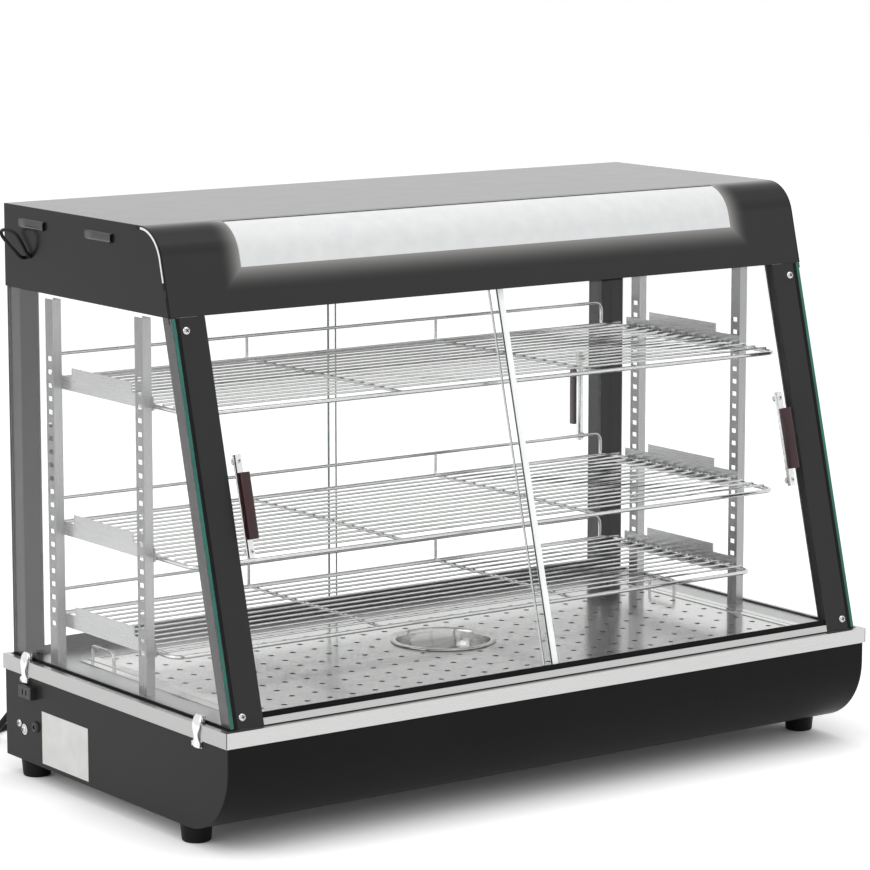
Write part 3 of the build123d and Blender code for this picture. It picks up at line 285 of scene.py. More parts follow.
def brushed(name, along="X", color=(0.62, 0.62, 0.61), rough=(0.22, 0.36), grain=0.00001, streak=0.92):
    stretch = {"X": (2, 420, 420), "Y": (420, 2, 420), "Z": (420, 420, 2)}[along]
    material, tree, shader = startMaterial(name, color, 1, rough[0])
    streaks = noise(tree, 6, stretch, 5)
    darker = tuple(c * streak for c in color)
    mottle(tree, shader, streaks, darker, color, streaks, rough)
    grainBump(tree, shader, streaks, grain, 0.5, 0.0004)
    return material


def plated(name, color=(0.78, 0.78, 0.78), rough=(0.08, 0.16)):
    material, tree, shader = startMaterial(name, color, 1, rough[0])
    cloud = noise(tree, 130)
    mottle(tree, shader, cloud, tuple(c * 0.9 for c in color), color, cloud, rough)
    grainBump(tree, shader, noise(tree, 240), 0.00002, 0.3)
    return material


def moulded(name, dark, light, rough=(0.45, 0.6), grain=1400, depth=0.00003, edge=0.0003, specular=0.5):
    material, tree, shader = startMaterial(name, dark, 0, rough[0])
    shader.inputs["Specular IOR Level"].default_value = specular
    mottle(tree, shader, noise(tree, 40), dark, light, noise(tree, 90), rough)
    grainBump(tree, shader, noise(tree, grain, detail=2), depth, 0.5, edge)
    return material


def clearGlass(name, color=(0.99, 0.996, 0.993)):
    material, tree, shader = startMaterial(name, color, 0, 0.0)
    shader.inputs["Transmission Weight"].default_value = 1
    shader.inputs["IOR"].default_value = 1.3
    smudge = noise(tree, 9)
    tree.links.new(spread(tree, smudge, 0.0, 0.012, 0.45, 0.8), shader.inputs["Roughness"])
    return material


def edgeGlass(name):
    green = (0.01, 0.16, 0.12)
    material, tree, shader = startMaterial(name, green, 0, 0.25)
    bands = blendColors(tree, noise(tree, 14), (0.006, 0.1, 0.075), (0.016, 0.2, 0.15))
    tree.links.new(bands, shader.inputs["Base Color"])
    # painted glow: the green edges emit a little light of their own colour
    shader.inputs["Emission Color"].default_value = (*green, 1)
    shader.inputs["Emission Strength"].default_value = 0.1
    return material


def glowing(name, color, dark, strength, rough=0.2, cell=60):
    material, tree, shader = startMaterial(name, color, 0, rough)
    shade = blendColors(tree, noise(tree, cell), dark, color)
    tree.links.new(shade, shader.inputs["Base Color"])
    tree.links.new(shade, shader.inputs["Emission Color"])
    shader.inputs["Emission Strength"].default_value = strength
    return material


finish = {
    # One black powder coat in lit and shaded copies, painted light and shade: the hood sides and the base
    # front and back darkest, with little coat on the base front and back; the base sides, posts, louvres and
    # hood cover lighter.
    "coat": powderCoat("blackCoat", 0.01, 0.012, coat=0.72),
    "litCoat": litCoat("hoodCoatLitCopy"),
    "baseCoatShadedCopy": powderCoat("baseCoatShadedCopy", 0.013, 0.015, coat=0.04),
    "sideCoatLitCopy": powderCoat("sideCoatLitCopy", 0.025, 0.028, coat=0.22),
    "postCoatLitCopy": powderCoat("postCoatLitCopy", 0.044, 0.048, coat=0.3),
    "trackCoat": powderCoat("trackCoat", 0.008, 0.012, coat=0.05),
    "louvre": powderCoat("louvreCoatLitCopy", 0.045, 0.055),
    # painted shade: the band's faces turned to either side darker
    "band": darken(
        brushed("bandSteel", "X", (0.58, 0.58, 0.575), (0.24, 0.32)), facingEither, "X", 0.78, 0.5, 0.9
    ),
    "tray": brushed("traySteel", "X", (0.72, 0.72, 0.71), (0.1, 0.2), 0.000004, 0.8),
    # painted shade: the pan's well under the tray darker towards the bottom
    "pan": darken(brushed("panSteel", "X", (0.6, 0.6, 0.6), (0.3, 0.42)), placeAlong, "Z", 0.4, 0.13, 0.11),
    # painted shade: the rails' faces turned to either side darker
    "rail": darken(
        brushed("railSteel", "Z", (0.42, 0.42, 0.42), (0.26, 0.34)), facingEither, "X", 0.6, 0.5, 0.9
    ),
    "bracket": brushed("bracketSteel", "Y", (0.5, 0.5, 0.5), (0.24, 0.32)),
    "galvanised": brushed("underSteel", "X", (0.5, 0.5, 0.5), (0.35, 0.5)),
    # painted shade: the shelf wires darker on their undersides
    "wire": darken(plated("shelfChrome", (0.74, 0.74, 0.74)), facing, "Z", 0.4, 0.1, -0.7),
    "screw": plated("screwSteel", (0.62, 0.62, 0.61), (0.14, 0.24)),
    "latch": plated("latchChrome", (0.86, 0.86, 0.86), (0.1, 0.18)),
    "handle": brushed("handleSteel", "Z", (0.82, 0.82, 0.82), (0.12, 0.2)),
    "bow": brushed("bowSteel", "X", (0.74, 0.74, 0.73), (0.14, 0.24)),
    # painted shade: the bowl darker below the tray
    "bowl": darken(plated("bowlSteel", (0.7, 0.7, 0.69), (0.1, 0.2)), placeAlong, "Z", 0.55, 0.14, 0.128),
    "glass": clearGlass("paneGlass"),
    "glassEdge": edgeGlass("paneEdge"),
    "doorEdge": moulded("doorEdge", (0.05, 0.07, 0.065), (0.09, 0.12, 0.11), (0.2, 0.3), 500, 0.00001),
    "rubber": moulded(
        "blackRubber", (0.005, 0.005, 0.005), (0.009, 0.009, 0.009), (0.5, 0.65), specular=0.15
    ),
    "plastic": moulded("blackPlastic", (0.012, 0.012, 0.013), (0.022, 0.022, 0.023), (0.35, 0.5)),
    "grip": moulded("burgundyGrip", (0.022, 0.003, 0.005), (0.04, 0.006, 0.01), (0.3, 0.42), 300, 0.00001),
    "panel": moulded("panelPlate", (0.42, 0.53, 0.65), (0.46, 0.57, 0.68), (0.35, 0.45), 800, 0.00001),
    "cream": moulded("creamMoulding", (0.6, 0.58, 0.5), (0.68, 0.66, 0.58)),
    "print": moulded("whitePrint", (0.75, 0.75, 0.75), (0.85, 0.85, 0.85), (0.5, 0.6), 900, 0.00001),
    "line": moulded("darkPrint", (0.03, 0.06, 0.12), (0.04, 0.08, 0.15), (0.5, 0.6), 900, 0.00001),
    "label": moulded("bareLabel", (0.72, 0.72, 0.7), (0.8, 0.8, 0.78), (0.4, 0.5), 500, 0.00001),
    "heater": brushed("heaterSheath", "X", (0.2, 0.19, 0.18), (0.4, 0.55)),
    "opal": glowing("opalLens", (0.62, 0.63, 0.63), (0.58, 0.59, 0.595), 0.42, 0.35),
    "tubeGlass": glowing("lampTube", (1, 1, 0.97), (0.9, 0.9, 0.88), 1.5),
    "red": glowing("redLens", (1.0, 0.09, 0.03), (0.75, 0.02, 0.01), 0.9, 0.15, 700),
    "green": glowing("greenLens", (0.03, 0.75, 0.25), (0.0, 0.3, 0.1), 0.5, 0.15, 700),
    "redKey": glowing("redKey", (1.0, 0.2, 0.06), (0.85, 0.03, 0.01), 0.7, 0.2, 90),
    # painted light: the seal strip where the door panes overlap glows
    "seal": glowing("clearSeal", (0.9, 0.91, 0.91), (0.85, 0.86, 0.86), 0.4, 0.3),
}
print("materials made:", len(finish))

dressing = {
    "baseCoatShadedCopy": ["base_front_sheet", "base_back_panel"],
    "sideCoatLitCopy": ["base_sides"],
    "litCoat": ["hood_cover"],
    "coat": ["hood_sides"],
    "postCoatLitCopy": ["front_posts", "rear_posts"],
    "galvanised": ["base_bottom_plate", "hood_underside"],
    "band": ["trim_band", "front_sill_strip"],
    "pan": ["floor_pan"],
    "tray": ["perforated_tray"],
    "bowl": ["water_bowl"],
    "rail": ["shelf_rails"],
    "bracket": ["shelf_brackets"],
    "wire": ["shelf_top", "shelf_middle", "shelf_bottom"],
    "screw": ["case_screws"],
    "latch": ["latch_plates"] + [n for n in nodes if n.startswith("latch_lever")],
    "handle": [n for n in nodes if "_handle_" in n],
    "grip": [n for n in nodes if "_grip_" in n],
    "glass": ["side_glass"] + [n for n in nodes if "_door_" in n and "tracks" not in n],
    "rubber": ["feet", "glass_gaskets", "power_cord", "cord_coil", "lamp_lead"],
    "trackCoat": ["front_door_tracks", "rear_door_tracks"],
    "plastic": ["temperature_dial", "switch_housings", "cable_gland", "side_socket", "power_plug"],
    "cream": ["thermostat", "terminal_block"],
    "panel": ["control_plate"],
    "heater": ["heating_element"],
    "opal": ["light_lens"],
    "tubeGlass": ["lamp_tube"],
    "red": ["pilot_lamp_red"],
    "green": ["pilot_lamp_green"],
    "redKey": ["light_switch_rocker", "power_switch_rocker"],
}
for key, names in dressing.items():
    for name in names:
        nodes[name].data.materials.clear()
        nodes[name].data.materials.append(finish[key])


# Mesh building blocks
def newPiece(name, bm, materials, body, replaced=(), smooth=35):
    bmesh.ops.recalc_face_normals(bm, faces=bm.faces)
    mesh = bpy.data.meshes.new(name)
    bm.to_mesh(mesh)
    bm.free()
    for material in materials if isinstance(materials, (list, tuple)) else [materials]:
        mesh.materials.append(material)
    if smooth:
        mesh.shade_smooth()
        mesh.set_sharp_from_angle(angle=math.radians(smooth))
    piece = addObject(name, mesh)
    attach(piece, body)
    if replaced:
        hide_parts(*replaced)
    return piece


def ringOf(verts):
    return list({e for v in verts for e in v.link_edges})


def stamp(target, source, place):
    mesh = bpy.data.meshes.new("stamp")
    source.to_mesh(mesh)
    mesh.transform(place)
    target.from_mesh(mesh)
    bpy.data.meshes.remove(mesh)


def lathe(profile, steps=32):  # (radius, height) in millimetres, turned about Z
    bm = bmesh.new()
    verts = [bm.verts.new((r * 0.001, 0, z * 0.001)) for r, z in profile]
    edges = [bm.edges.new(pair) for pair in zip(verts, verts[1:])]
    bmesh.ops.spin(
        bm, geom=verts + edges, cent=(0, 0, 0), axis=(0, 0, 1), dvec=(0, 0, 0), angle=math.tau, steps=steps,
        use_merge=True
    )
    bmesh.ops.remove_doubles(bm, verts=bm.verts, dist=0.000001)
    return bm


def roundOff(bm, edges, offset, segments, profile=0.5):
    bmesh.ops.bevel(
        bm, geom=edges, offset=offset * 0.001, segments=segments, profile=profile, affect="EDGES", material=-1
    )


def slab(bm, low, high, place=Matrix(), bevel=0.0, segments=2):  # a box from corner to corner, in millimetres
    low, high = Vector(low), Vector(high)
    middle = Matrix.Translation((low + high) * 0.0005) @ Matrix.Diagonal((*((high - low) * 0.001), 1))
    made = bmesh.ops.create_cube(bm, size=1, matrix=place @ middle)
    if bevel:
        roundOff(bm, ringOf(made["verts"]), bevel, segments)


def pullFaces(bm, faces, travel):
    made = bmesh.ops.extrude_face_region(bm, geom=faces)["geom"]
    verts = [g for g in made if isinstance(g, bmesh.types.BMVert)]
    bmesh.ops.translate(bm, verts=verts, vec=travel)
    return verts, [g for g in made if isinstance(g, bmesh.types.BMFace)]


def newEdges(made):
    return [g for g in made if isinstance(g, bmesh.types.BMEdge)]


def moveRing(bm, ring, travel):
    made = bmesh.ops.extrude_edge_only(bm, edges=ring)["geom"]
    verts = {g for g in made if isinstance(g, bmesh.types.BMVert)}
    bmesh.ops.translate(bm, verts=list(verts), vec=travel)
    return [e for e in newEdges(made) if set(e.verts) <= verts]


def wireRun(bm, points, radius, bend=0.0, sides=12, closed=False, steps=5):
    # a round wire through straight runs and rounded corners, in millimetres
    points = [Vector(p) * 0.001 for p in points]
    start = (points[0] + points[1]) / 2 if closed else points[0]
    stops = points[1:] + points[:1] + [start] if closed else points[1:]
    along = (stops[0] - start).normalized()
    place = Matrix.Translation(start) @ along.to_track_quat("Z", "Y").to_matrix().to_4x4()
    made = bmesh.ops.create_circle(
        bm, cap_ends=not closed, segments=sides, radius=radius * 0.001, matrix=place
    )
    ring = ringOf(made["verts"])
    here = start
    for corner, after in zip(stops, stops[1:] + [None]):
        along = (corner - here).normalized()
        if after is None:
            ring = moveRing(bm, ring, corner - here)
            continue
        away = (after - corner).normalized()
        angle = along.angle(away)
        setback = bend * 0.001 * math.tan(angle / 2)
        ring = moveRing(bm, ring, corner - along * setback - here)
        middle = corner - along * setback + (away - along * along.dot(away)).normalized() * bend * 0.001
        made = bmesh.ops.spin(
            bm, geom=ring, cent=middle, axis=along.cross(away).normalized(), dvec=(0, 0, 0), angle=angle,
            steps=steps, use_merge=False
        )
        ring = newEdges(made["geom_last"])
        here = corner + away * setback
    if not closed:
        bmesh.ops.contextual_create(bm, geom=ring)
    bmesh.ops.remove_doubles(bm, verts=bm.verts, dist=0.000002)


# Power cord: free route, coil behind the base, then the plug; lamp lead on the hood's left end
mainsCord = {
    "diameter": 0.008,
    "length": 1.68,
    "turnMiddle": (-236, 349.3),
    "outerRadius": 58.6,
    "pitch": 10.6,
    "layer": 8.8,
    "halfTurns": 4,
    "pointsPerHalfTurn": 8,
    "floor": 4.05,
    "plugZ": 18.6,
    "riseX": (-250.0, -264.0, -278.0, -286.0),
}
cordRoute = [
    (-391, 259, 68), (-391, 283, 68), (-393, 312, 56), (-398, 336, 31), (-400, 357, 13),
    (-393, 380, 4.05), (-374, 400, 4.05), (-345, 413, 4.05), (-308, 413, 4.05), (-276, 407.9, 4.05),
    (-244, 407.9, 4.05),
]
lampLead = {"diameter": 0.004, "length": 0.113}
leadRoute = [
    (-441.4, 174, 604), (-447, 173, 608), (-452, 174, 620), (-455.5, 182, 631), (-457, 198, 633.5),
    (-456.5, 213, 632), (-455.5, 215.5, 626), (-454, 202, 617), (-451, 189, 608), (-447, 185.5, 602),
    (-441.4, 188, 602),
]


def cordLine(name, points, diameter):
    curve = bpy.data.curves.new(name, "CURVE")
    curve.dimensions = "3D"
    curve.bevel_depth = diameter / 2
    curve.bevel_resolution = 5
    curve.resolution_u = 6
    curve.use_fill_caps = True
    line = curve.splines.new("NURBS")
    line.points.add(len(points) - 1)
    for point, place in zip(line.points, points):
        point.co = (*spot(*place), 1)
    line.order_u = 3
    line.use_endpoint_u = True
    curve.materials.append(finish["rubber"])
    piece = addObject(name, curve)
    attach(piece, "cabinet")
    return piece


def coilPoints():
    middleX, middleY = mainsCord["turnMiddle"]
    perHalf, halfTurns = mainsCord["pointsPerHalfTurn"], mainsCord["halfTurns"]
    swell = 1 / math.cos(math.pi / (2 * perHalf))
    points = []
    for i in range((2 * halfTurns + 1) * perHalf + 1):
        turn = i / perHalf
        inward = min(turn, halfTurns, 2 * halfTurns + 1 - turn)
        radius = (mainsCord["outerRadius"] - inward * mainsCord["pitch"] / 2) * swell
        climb = min(max(turn - halfTurns, 0), 1)
        angle = math.pi * (0.5 - turn)
        points.append(
            (middleX + radius * math.cos(angle), middleY + radius * math.sin(angle),
             mainsCord["floor"] + mainsCord["layer"] * climb)
        )
    return points


def layCords():
    endY = mainsCord["turnMiddle"][1] - mainsCord["outerRadius"]
    top = mainsCord["floor"] + mainsCord["layer"]
    firstX, *plugX = mainsCord["riseX"]
    rise = [(firstX, endY, top)] + [(x, endY, mainsCord["plugZ"]) for x in plugX]
    cord = cordLine("mainsCord", cordRoute + coilPoints() + rise, mainsCord["diameter"])
    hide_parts("power_cord", "cord_coil")
    lead = cordLine("lampLead", leadRoute, lampLead["diameter"])
    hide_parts("lamp_lead")


layCords()
print("cords laid")


# Shelves of round chrome wire
shelves = {
    "halfWidth": 411.9,
    "back": 205.0,
    "frame": 5.0,
    "wire": 2.6,
    "cross": 4.0,
    "crossX": 137.0,
    "pitch": 21.0,
    "corner": 15.0,
    "guard": 28.0,
    "guardCorner": 10.0,
    "sink": 0.4,
    "levels": {"shelf_top": (459.0, -120.0), "shelf_middle": (291.8, -120.0), "shelf_bottom": (185.4, -80.0)},
    "bodies": {"shelf_top": "top_shelf", "shelf_middle": "middle_shelf", "shelf_bottom": "bottom_shelf"},
}


def makeShelf(name):
    z, front = shelves["levels"][name]
    rod = shelves["frame"]
    x = shelves["halfWidth"] - rod / 2
    shift = cabinet["bandMiddle"]
    y0, y1 = front + rod / 2 - shift, shelves["back"] - rod / 2 - shift
    bm = bmesh.new()
    corners = [(-x, y0, z), (x, y0, z), (x, y1, z), (-x, y1, z)]
    wireRun(bm, corners, rod / 2, shelves["corner"], closed=True)
    cross = shelves["cross"]
    crossZ = z + (rod - cross) / 2
    for crossX in (-shelves["crossX"], shelves["crossX"]):
        wireRun(bm, [(crossX, y0, crossZ), (crossX, y1, crossZ)], cross / 2)
    count = int((y1 - y0) / shelves["pitch"])
    pitch = (y1 - y0) / (count + 1)
    wireZ = z + rod / 2 + shelves["wire"] / 2 - shelves["sink"]
    for i in range(count):
        y = y0 + pitch * (i + 1)
        wireRun(bm, [(-x, y, wireZ), (x, y, wireZ)], shelves["wire"] / 2, sides=8)
    top = z + shelves["guard"]
    end = x - shelves["corner"]
    guard = [(-end, y1, z), (-end, y1, top), (end, y1, top), (end, y1, z)]
    wireRun(bm, guard, cross / 2, shelves["guardCorner"])
    for crossX in (-shelves["crossX"], shelves["crossX"]):
        wireRun(bm, [(crossX, y1, z), (crossX, y1, top)], cross / 2)
    newPiece(name + "_wire", bm, finish["wire"], shelves["bodies"][name], [name])


for name in shelves["levels"]:
    makeShelf(name)
print("shelves made")


# Glass panes with ground green edges
panes = {
    "edge": 0.5,
    "sideThick": 5.0,
    "doorThick": 4.0,
    "sealHalf": 5.5,
    "sealThick": 0.7,
    "sealInset": 4.0,
    "sealRound": 0.25,
}


def slopeSpan(node):  # lowest and highest place of a node up the slanted front, in metres
    inverse = slopeFrame.inverted()
    places = [(inverse @ v.co).y for v in nodes[node].data.vertices]
    return min(places), max(places)


def makePane(name, corners, pull, body, replaced):
    # corners of one face in metres, pulled to its thickness; the narrow faces get the edge finish,
    # all but the one under the meeting seal
    bm = bmesh.new()
    face = bm.faces.new([bm.verts.new(c) for c in corners])
    pullFaces(bm, [face], pull)
    roundOff(bm, bm.edges[:], panes["edge"], 1)
    bmesh.ops.recalc_face_normals(bm, faces=bm.faces)
    front = slopeFrame.to_3x3() @ Vector((0, 0, 1))
    for f in bm.faces:
        if abs(f.normal.dot(pull.normalized())) < 0.95:
            f.material_index = 2 if f.normal.dot(front) > 0.8 and body == "cabinet" else 1
            if body == "front_right_door" and f.normal.x < -0.9:
                f.material_index = 0
    materials = [finish["glass"], finish["doorEdge"], finish["glassEdge"]]
    return newPiece(name, bm, materials, body, replaced, 0)


def makePanes():
    low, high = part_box("side_glass")
    topY = low.y + (high.z - low.z) * math.tan(math.radians(cabinet["slopeTurn"]))
    for side, label in ((-1, "left"), (1, "right")):
        x = side * high.x
        corners = [(x, low.y, low.z), (x, high.y, low.z), (x, high.y, high.z), (x, topY, high.z)]
        pull = Vector((-side * panes["sideThick"] * 0.001, 0, 0))
        makePane(f"side_glass_{label}", corners, pull, "cabinet", ["side_glass"])
    for label, w in (("left", cabinet["leftPaneW"]), ("right", cabinet["rightPaneW"])):
        node = f"front_door_{label}"
        low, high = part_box(node)
        u0, u1 = slopeSpan(node)
        corners = [slopeFrame @ Vector((x, u, w * 0.001)) for x, u in
                   ((low.x, u0), (high.x, u0), (high.x, u1), (low.x, u1))]
        pull = (slopeFrame.to_3x3() @ Vector((0, 0, -1))) * panes["doorThick"] * 0.001
        makePane(node + "_glass", corners, pull, f"front_{label}_door", [node])
        node = f"rear_door_{label}"
        low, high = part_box(node)
        corners = [(low.x, high.y, low.z), (high.x, high.y, low.z), (high.x, high.y, high.z),
                   (low.x, high.y, high.z)]
        pull = Vector((0, low.y - high.y, 0))
        makePane(node + "_glass", corners, pull, f"rear_{label}_door", [node])


makePanes()


# painted light: the seal strip glows
def makeMeetingSeal():  # light strip on the right door where the panes overlap
    bm = bmesh.new()
    u0, u1 = slopeSpan("front_door_right")
    inset, half, w = panes["sealInset"], panes["sealHalf"], cabinet["rightPaneW"]
    low = (-half, u0 * 1000 + inset, w)
    high = (half, u1 * 1000 - inset, w + panes["sealThick"])
    slab(bm, low, high, slopeFrame, panes["sealRound"], 1)
    newPiece("meeting_seal", bm, finish["seal"], "front_right_door")


makeMeetingSeal()
print("glass made")


# Perforated tray with round holes and its lifting bows
tray = {
    "pitch": 30.0,
    "columns": 25,
    "rows": 11,
    "frontRow": -167.0,
    "hole": 3.5,
    "holeSides": 16,
    "halfX": 398.0,
    "front": -184.0,
    "back": 150.0,
    "top": 139.9,
    "thick": 1.0,
    "bowlY": -4.0,
    "bowlHole": 57.0,
    "bowlSides": 72,
    "bowlMargin": 1.0,
    "clear": 67.1,
    "rimReach": 130.0,
    "skirt": 10.0,
    "skirtInset": 3.8,
    "bows": ((-386, 117), (386, 66)),
    "bowHalf": 24.0,
    "bowRise": 17.0,
    "bowWire": 2.0,
    "bowCorner": 5.0,
}


def punchedCell():
    half = tray["pitch"] * 0.0005
    bm = bmesh.new()
    made = bmesh.ops.create_circle(
        bm, cap_ends=False, segments=tray["holeSides"], radius=tray["hole"] * 0.001,
        matrix=Matrix.Rotation(math.pi / tray["holeSides"] * 2, 4, "Z")
    )
    ring = ringOf(made["verts"])
    outer = bmesh.ops.extrude_edge_only(bm, edges=ring)["geom"]
    for v in (g for g in outer if isinstance(g, bmesh.types.BMVert)):
        v.co *= half / max(abs(v.co.x), abs(v.co.y))
    return bm


def makeTray():
    cell = punchedCell()
    bm = bmesh.new()
    pitch, firstX = tray["pitch"], -tray["pitch"] * (tray["columns"] - 1) / 2
    rings = [(0, tray["bowlY"], tray["bowlHole"], tray["bowlSides"])]
    for column in range(tray["columns"]):
        for row in range(tray["rows"]):
            x, y = firstX + column * pitch, tray["frontRow"] + row * pitch
            dx, dy = abs(x), abs(y - tray["bowlY"])
            nearest = math.hypot(max(dx - pitch / 2, 0), max(dy - pitch / 2, 0))
            if nearest > tray["bowlHole"] + tray["bowlMargin"]:
                stamp(bm, cell, Matrix.Translation(spot(x, y, tray["top"])))
            elif math.hypot(dx, dy) > tray["clear"]:
                rings.append((x, y, tray["hole"], tray["holeSides"]))
    bmesh.ops.remove_doubles(bm, verts=bm.verts, dist=0.00001)
    middle = spot(0, tray["bowlY"], tray["top"])
    # edges of the cells round the bowl, longer than those of the holes
    rim = [e for e in bm.edges if e.is_boundary and e.calc_length() > tray["hole"] * 0.001
           and all((v.co - middle).length < tray["rimReach"] * 0.001 for v in e.verts)]
    for x, y, radius, sides in rings:
        made = bmesh.ops.create_circle(
            bm, cap_ends=False, segments=sides, radius=radius * 0.001,
            matrix=Matrix.Translation(spot(x, y, tray["top"]))
        )
        rim += ringOf(made["verts"])
    bmesh.ops.triangle_fill(bm, use_beauty=True, use_dissolve=False, edges=rim, normal=(0, 0, 1))
    edgeX = -firstX + pitch / 2
    edgeY0, edgeY1 = tray["frontRow"] - pitch / 2, tray["frontRow"] + pitch * (tray["rows"] - 0.5)
    halfX, front, back, thick = (tray[name] for name in ("halfX", "front", "back", "thick"))
    bars = [(-halfX, -edgeX, front, back), (edgeX, halfX, front, back), (-edgeX, edgeX, front, edgeY0),
            (-edgeX, edgeX, edgeY1, back)]
    for x0, x1, y0, y1 in bars:
        place = Matrix.Translation(spot((x0 + x1) / 2, (y0 + y1) / 2, tray["top"]))
        stretch = Matrix.Diagonal((x1 - x0, y1 - y0, 1, 1))
        bmesh.ops.create_grid(bm, x_segments=1, y_segments=1, size=0.0005, matrix=place @ stretch)
    bmesh.ops.remove_doubles(bm, verts=bm.verts, dist=0.00001)
    bmesh.ops.recalc_face_normals(bm, faces=bm.faces)
    bmesh.ops.solidify(bm, geom=bm.faces[:], thickness=thick * 0.001)
    newPiece("tray_plate", bm, finish["tray"], "tray", ["perforated_tray"], 30)
    bm = bmesh.new()
    inset = tray["skirtInset"]
    x, y0, y1 = halfX - inset, front + inset, back - inset
    top = tray["top"] - thick
    low = top - tray["skirt"]
    walls = ((-x, x, y0, y0 + thick), (-x, x, y1 - thick, y1), (-x, -x + thick, y0, y1),
             (x - thick, x, y0, y1))
    for x0, x1, y0, y1 in walls:
        slab(bm, (x0, y0, low), (x1, y1, top), bandPlace)
    half, rise = tray["bowHalf"], tray["top"] + tray["bowRise"]
    for bowX, bowY in tray["bows"]:
        y0, y1 = bowY - cabinet["bandMiddle"] - half, bowY - cabinet["bandMiddle"] + half
        bow = [(bowX, y0, tray["top"]), (bowX, y0, rise), (bowX, y1, rise), (bowX, y1, tray["top"])]
        wireRun(bm, bow, tray["bowWire"], tray["bowCorner"])
    newPiece("tray_skirt_and_bows", bm, finish["bow"], "tray", (), 30)


makeTray()


bowl = {
    "rim": 142.3,
    "inside": ((0, -34), (28, -34), (36, -32.6), (44, -28.5), (50, -22), (54, -12), (55.2, -4),
               (55.6, -0.8)),
    "lip": ((57, 0.2), (60, 0.5), (61.6, 0.2), (62.4, -0.6), (62.2, -1.7), (61, -2.2), (60, -1.6),
            (57.4, -1.0)),
    "outside": ((56.2, -1.8), (55.6, -4.6), (54.4, -12.4), (50.6, -22.6), (44.4, -29.3), (36, -33.4),
                (28, -34.8), (0, -34.8)),
}


def makeBowl():
    profile = [(r, bowl["rim"] + z) for r, z in bowl["inside"] + bowl["lip"] + bowl["outside"]]
    bm = bmesh.new()
    stamp(bm, lathe(profile, 72), Matrix.Translation(spot(0, tray["bowlY"], 0)))
    newPiece("bowl_shell", bm, finish["bowl"], "bowl", ["water_bowl"], 50)


makeBowl()
print("tray and bowl made")


# Screws with crossed recesses, drawn as black bars in the heads: painted shade
screws = {
    "head": 4.5,
    "rise": 2.3,
    "dome": ((0, 1), (0.45, 0.97), (0.75, 0.78), (0.93, 0.45), (1, 0.12), (0.98, 0), (0, 0)),
    "recessArm": 0.52,
    "recessWidth": 0.13,
    "recessHeights": (-0.5, 0.06),
    "slope": ((151.0, 0.3), (552.0, 0.7)),
    "slopeX": 423.0,
    "back": ((-165.0, 69), (-413.9, 69), (-289.45, 101.5), (-289.45, 38.1)),
    "backTurn": 0.1,
    "left": ((207, 62, 0.0, 0.4), (195, 57, 1.0, 0.9)),
    "washer": ((0, 0), (6.4, 0), (6.4, 0.8), (6.0, 1.0), (0, 1.0)),
}


def screwHead(radius, rise):  # its dome is given in shares of both
    return lathe([(radius * across, rise * up) for across, up in screws["dome"]], 24)


# painted shade: two black bars stand for the shaded cross recess
def crossRecess(radius, rise):
    bm = bmesh.new()
    arm, wide = radius * screws["recessArm"], radius * screws["recessWidth"]
    low, high = (rise + height for height in screws["recessHeights"])
    slab(bm, (-arm, -wide, low), (arm, wide, high))
    slab(bm, (-wide, -arm, low), (wide, arm, high))
    return bm


def addScrew(heads, marks, place, radius, rise):
    stamp(heads, screwHead(radius, rise), place)
    stamp(marks, crossRecess(radius, rise), place)


def makeScrews():
    heads, marks = bmesh.new(), bmesh.new()
    places = [onSlope(side * screws["slopeX"], z, 0) @ Matrix.Rotation(turn, 4, "Z")
              for side in (-1, 1) for z, turn in screws["slope"]]
    places += [onBack(x, z) @ Matrix.Rotation(x * screws["backTurn"], 4, "Z") for x, z in screws["back"]]
    places += [onLeft(y, z, out) @ Matrix.Rotation(turn, 4, "Z") for y, z, out, turn in screws["left"]]
    for place in places:
        addScrew(heads, marks, place, screws["head"], screws["rise"])
    stamp(heads, lathe(screws["washer"], 28), onLeft(*screws["left"][-1][:2]))
    newPiece("screw_heads", heads, finish["screw"], "cabinet", ["case_screws"])
    newPiece("screw_recesses", marks, finish["plastic"], "cabinet", (), 0)


makeScrews()


# Latches: lever of bent sheet, broad above the band, narrow over its edge, on a small hinge plate
latches = {
    "thick": 1.0,
    "crown": 0.9,
    "line": ((3.2, 112.9, 6.0), (3.4, 115.6, 6.8), (3.6, 118.6, 6.6), (4.0, 121.4, 4.8), (4.6, 125.0, 3.9),
             (4.8, 129.0, 4.2), (4.4, 132.6, 5.8), (3.9, 136.2, 7.2), (3.2, 139.8, 7.5), (2.2, 143.4, 7.3),
             (0.8, 146.6, 6.2), (-0.8, 148.8, 4.6)),
    "shift": {"rear": -4.0, "front": -2.4},
    "plate": (7.4, 112.6, 121.2, 0.2, 1.4),
    "strike": (4.0, 139.3, 146.6, -6.4, -4.2),
    "pin": (3.0, 116.8, 1.4, 13.6),
    "ear": (0.6, 0.5, 3.0, 2.6),  # gap beside the pin, half its thickness, below and above the pin
}


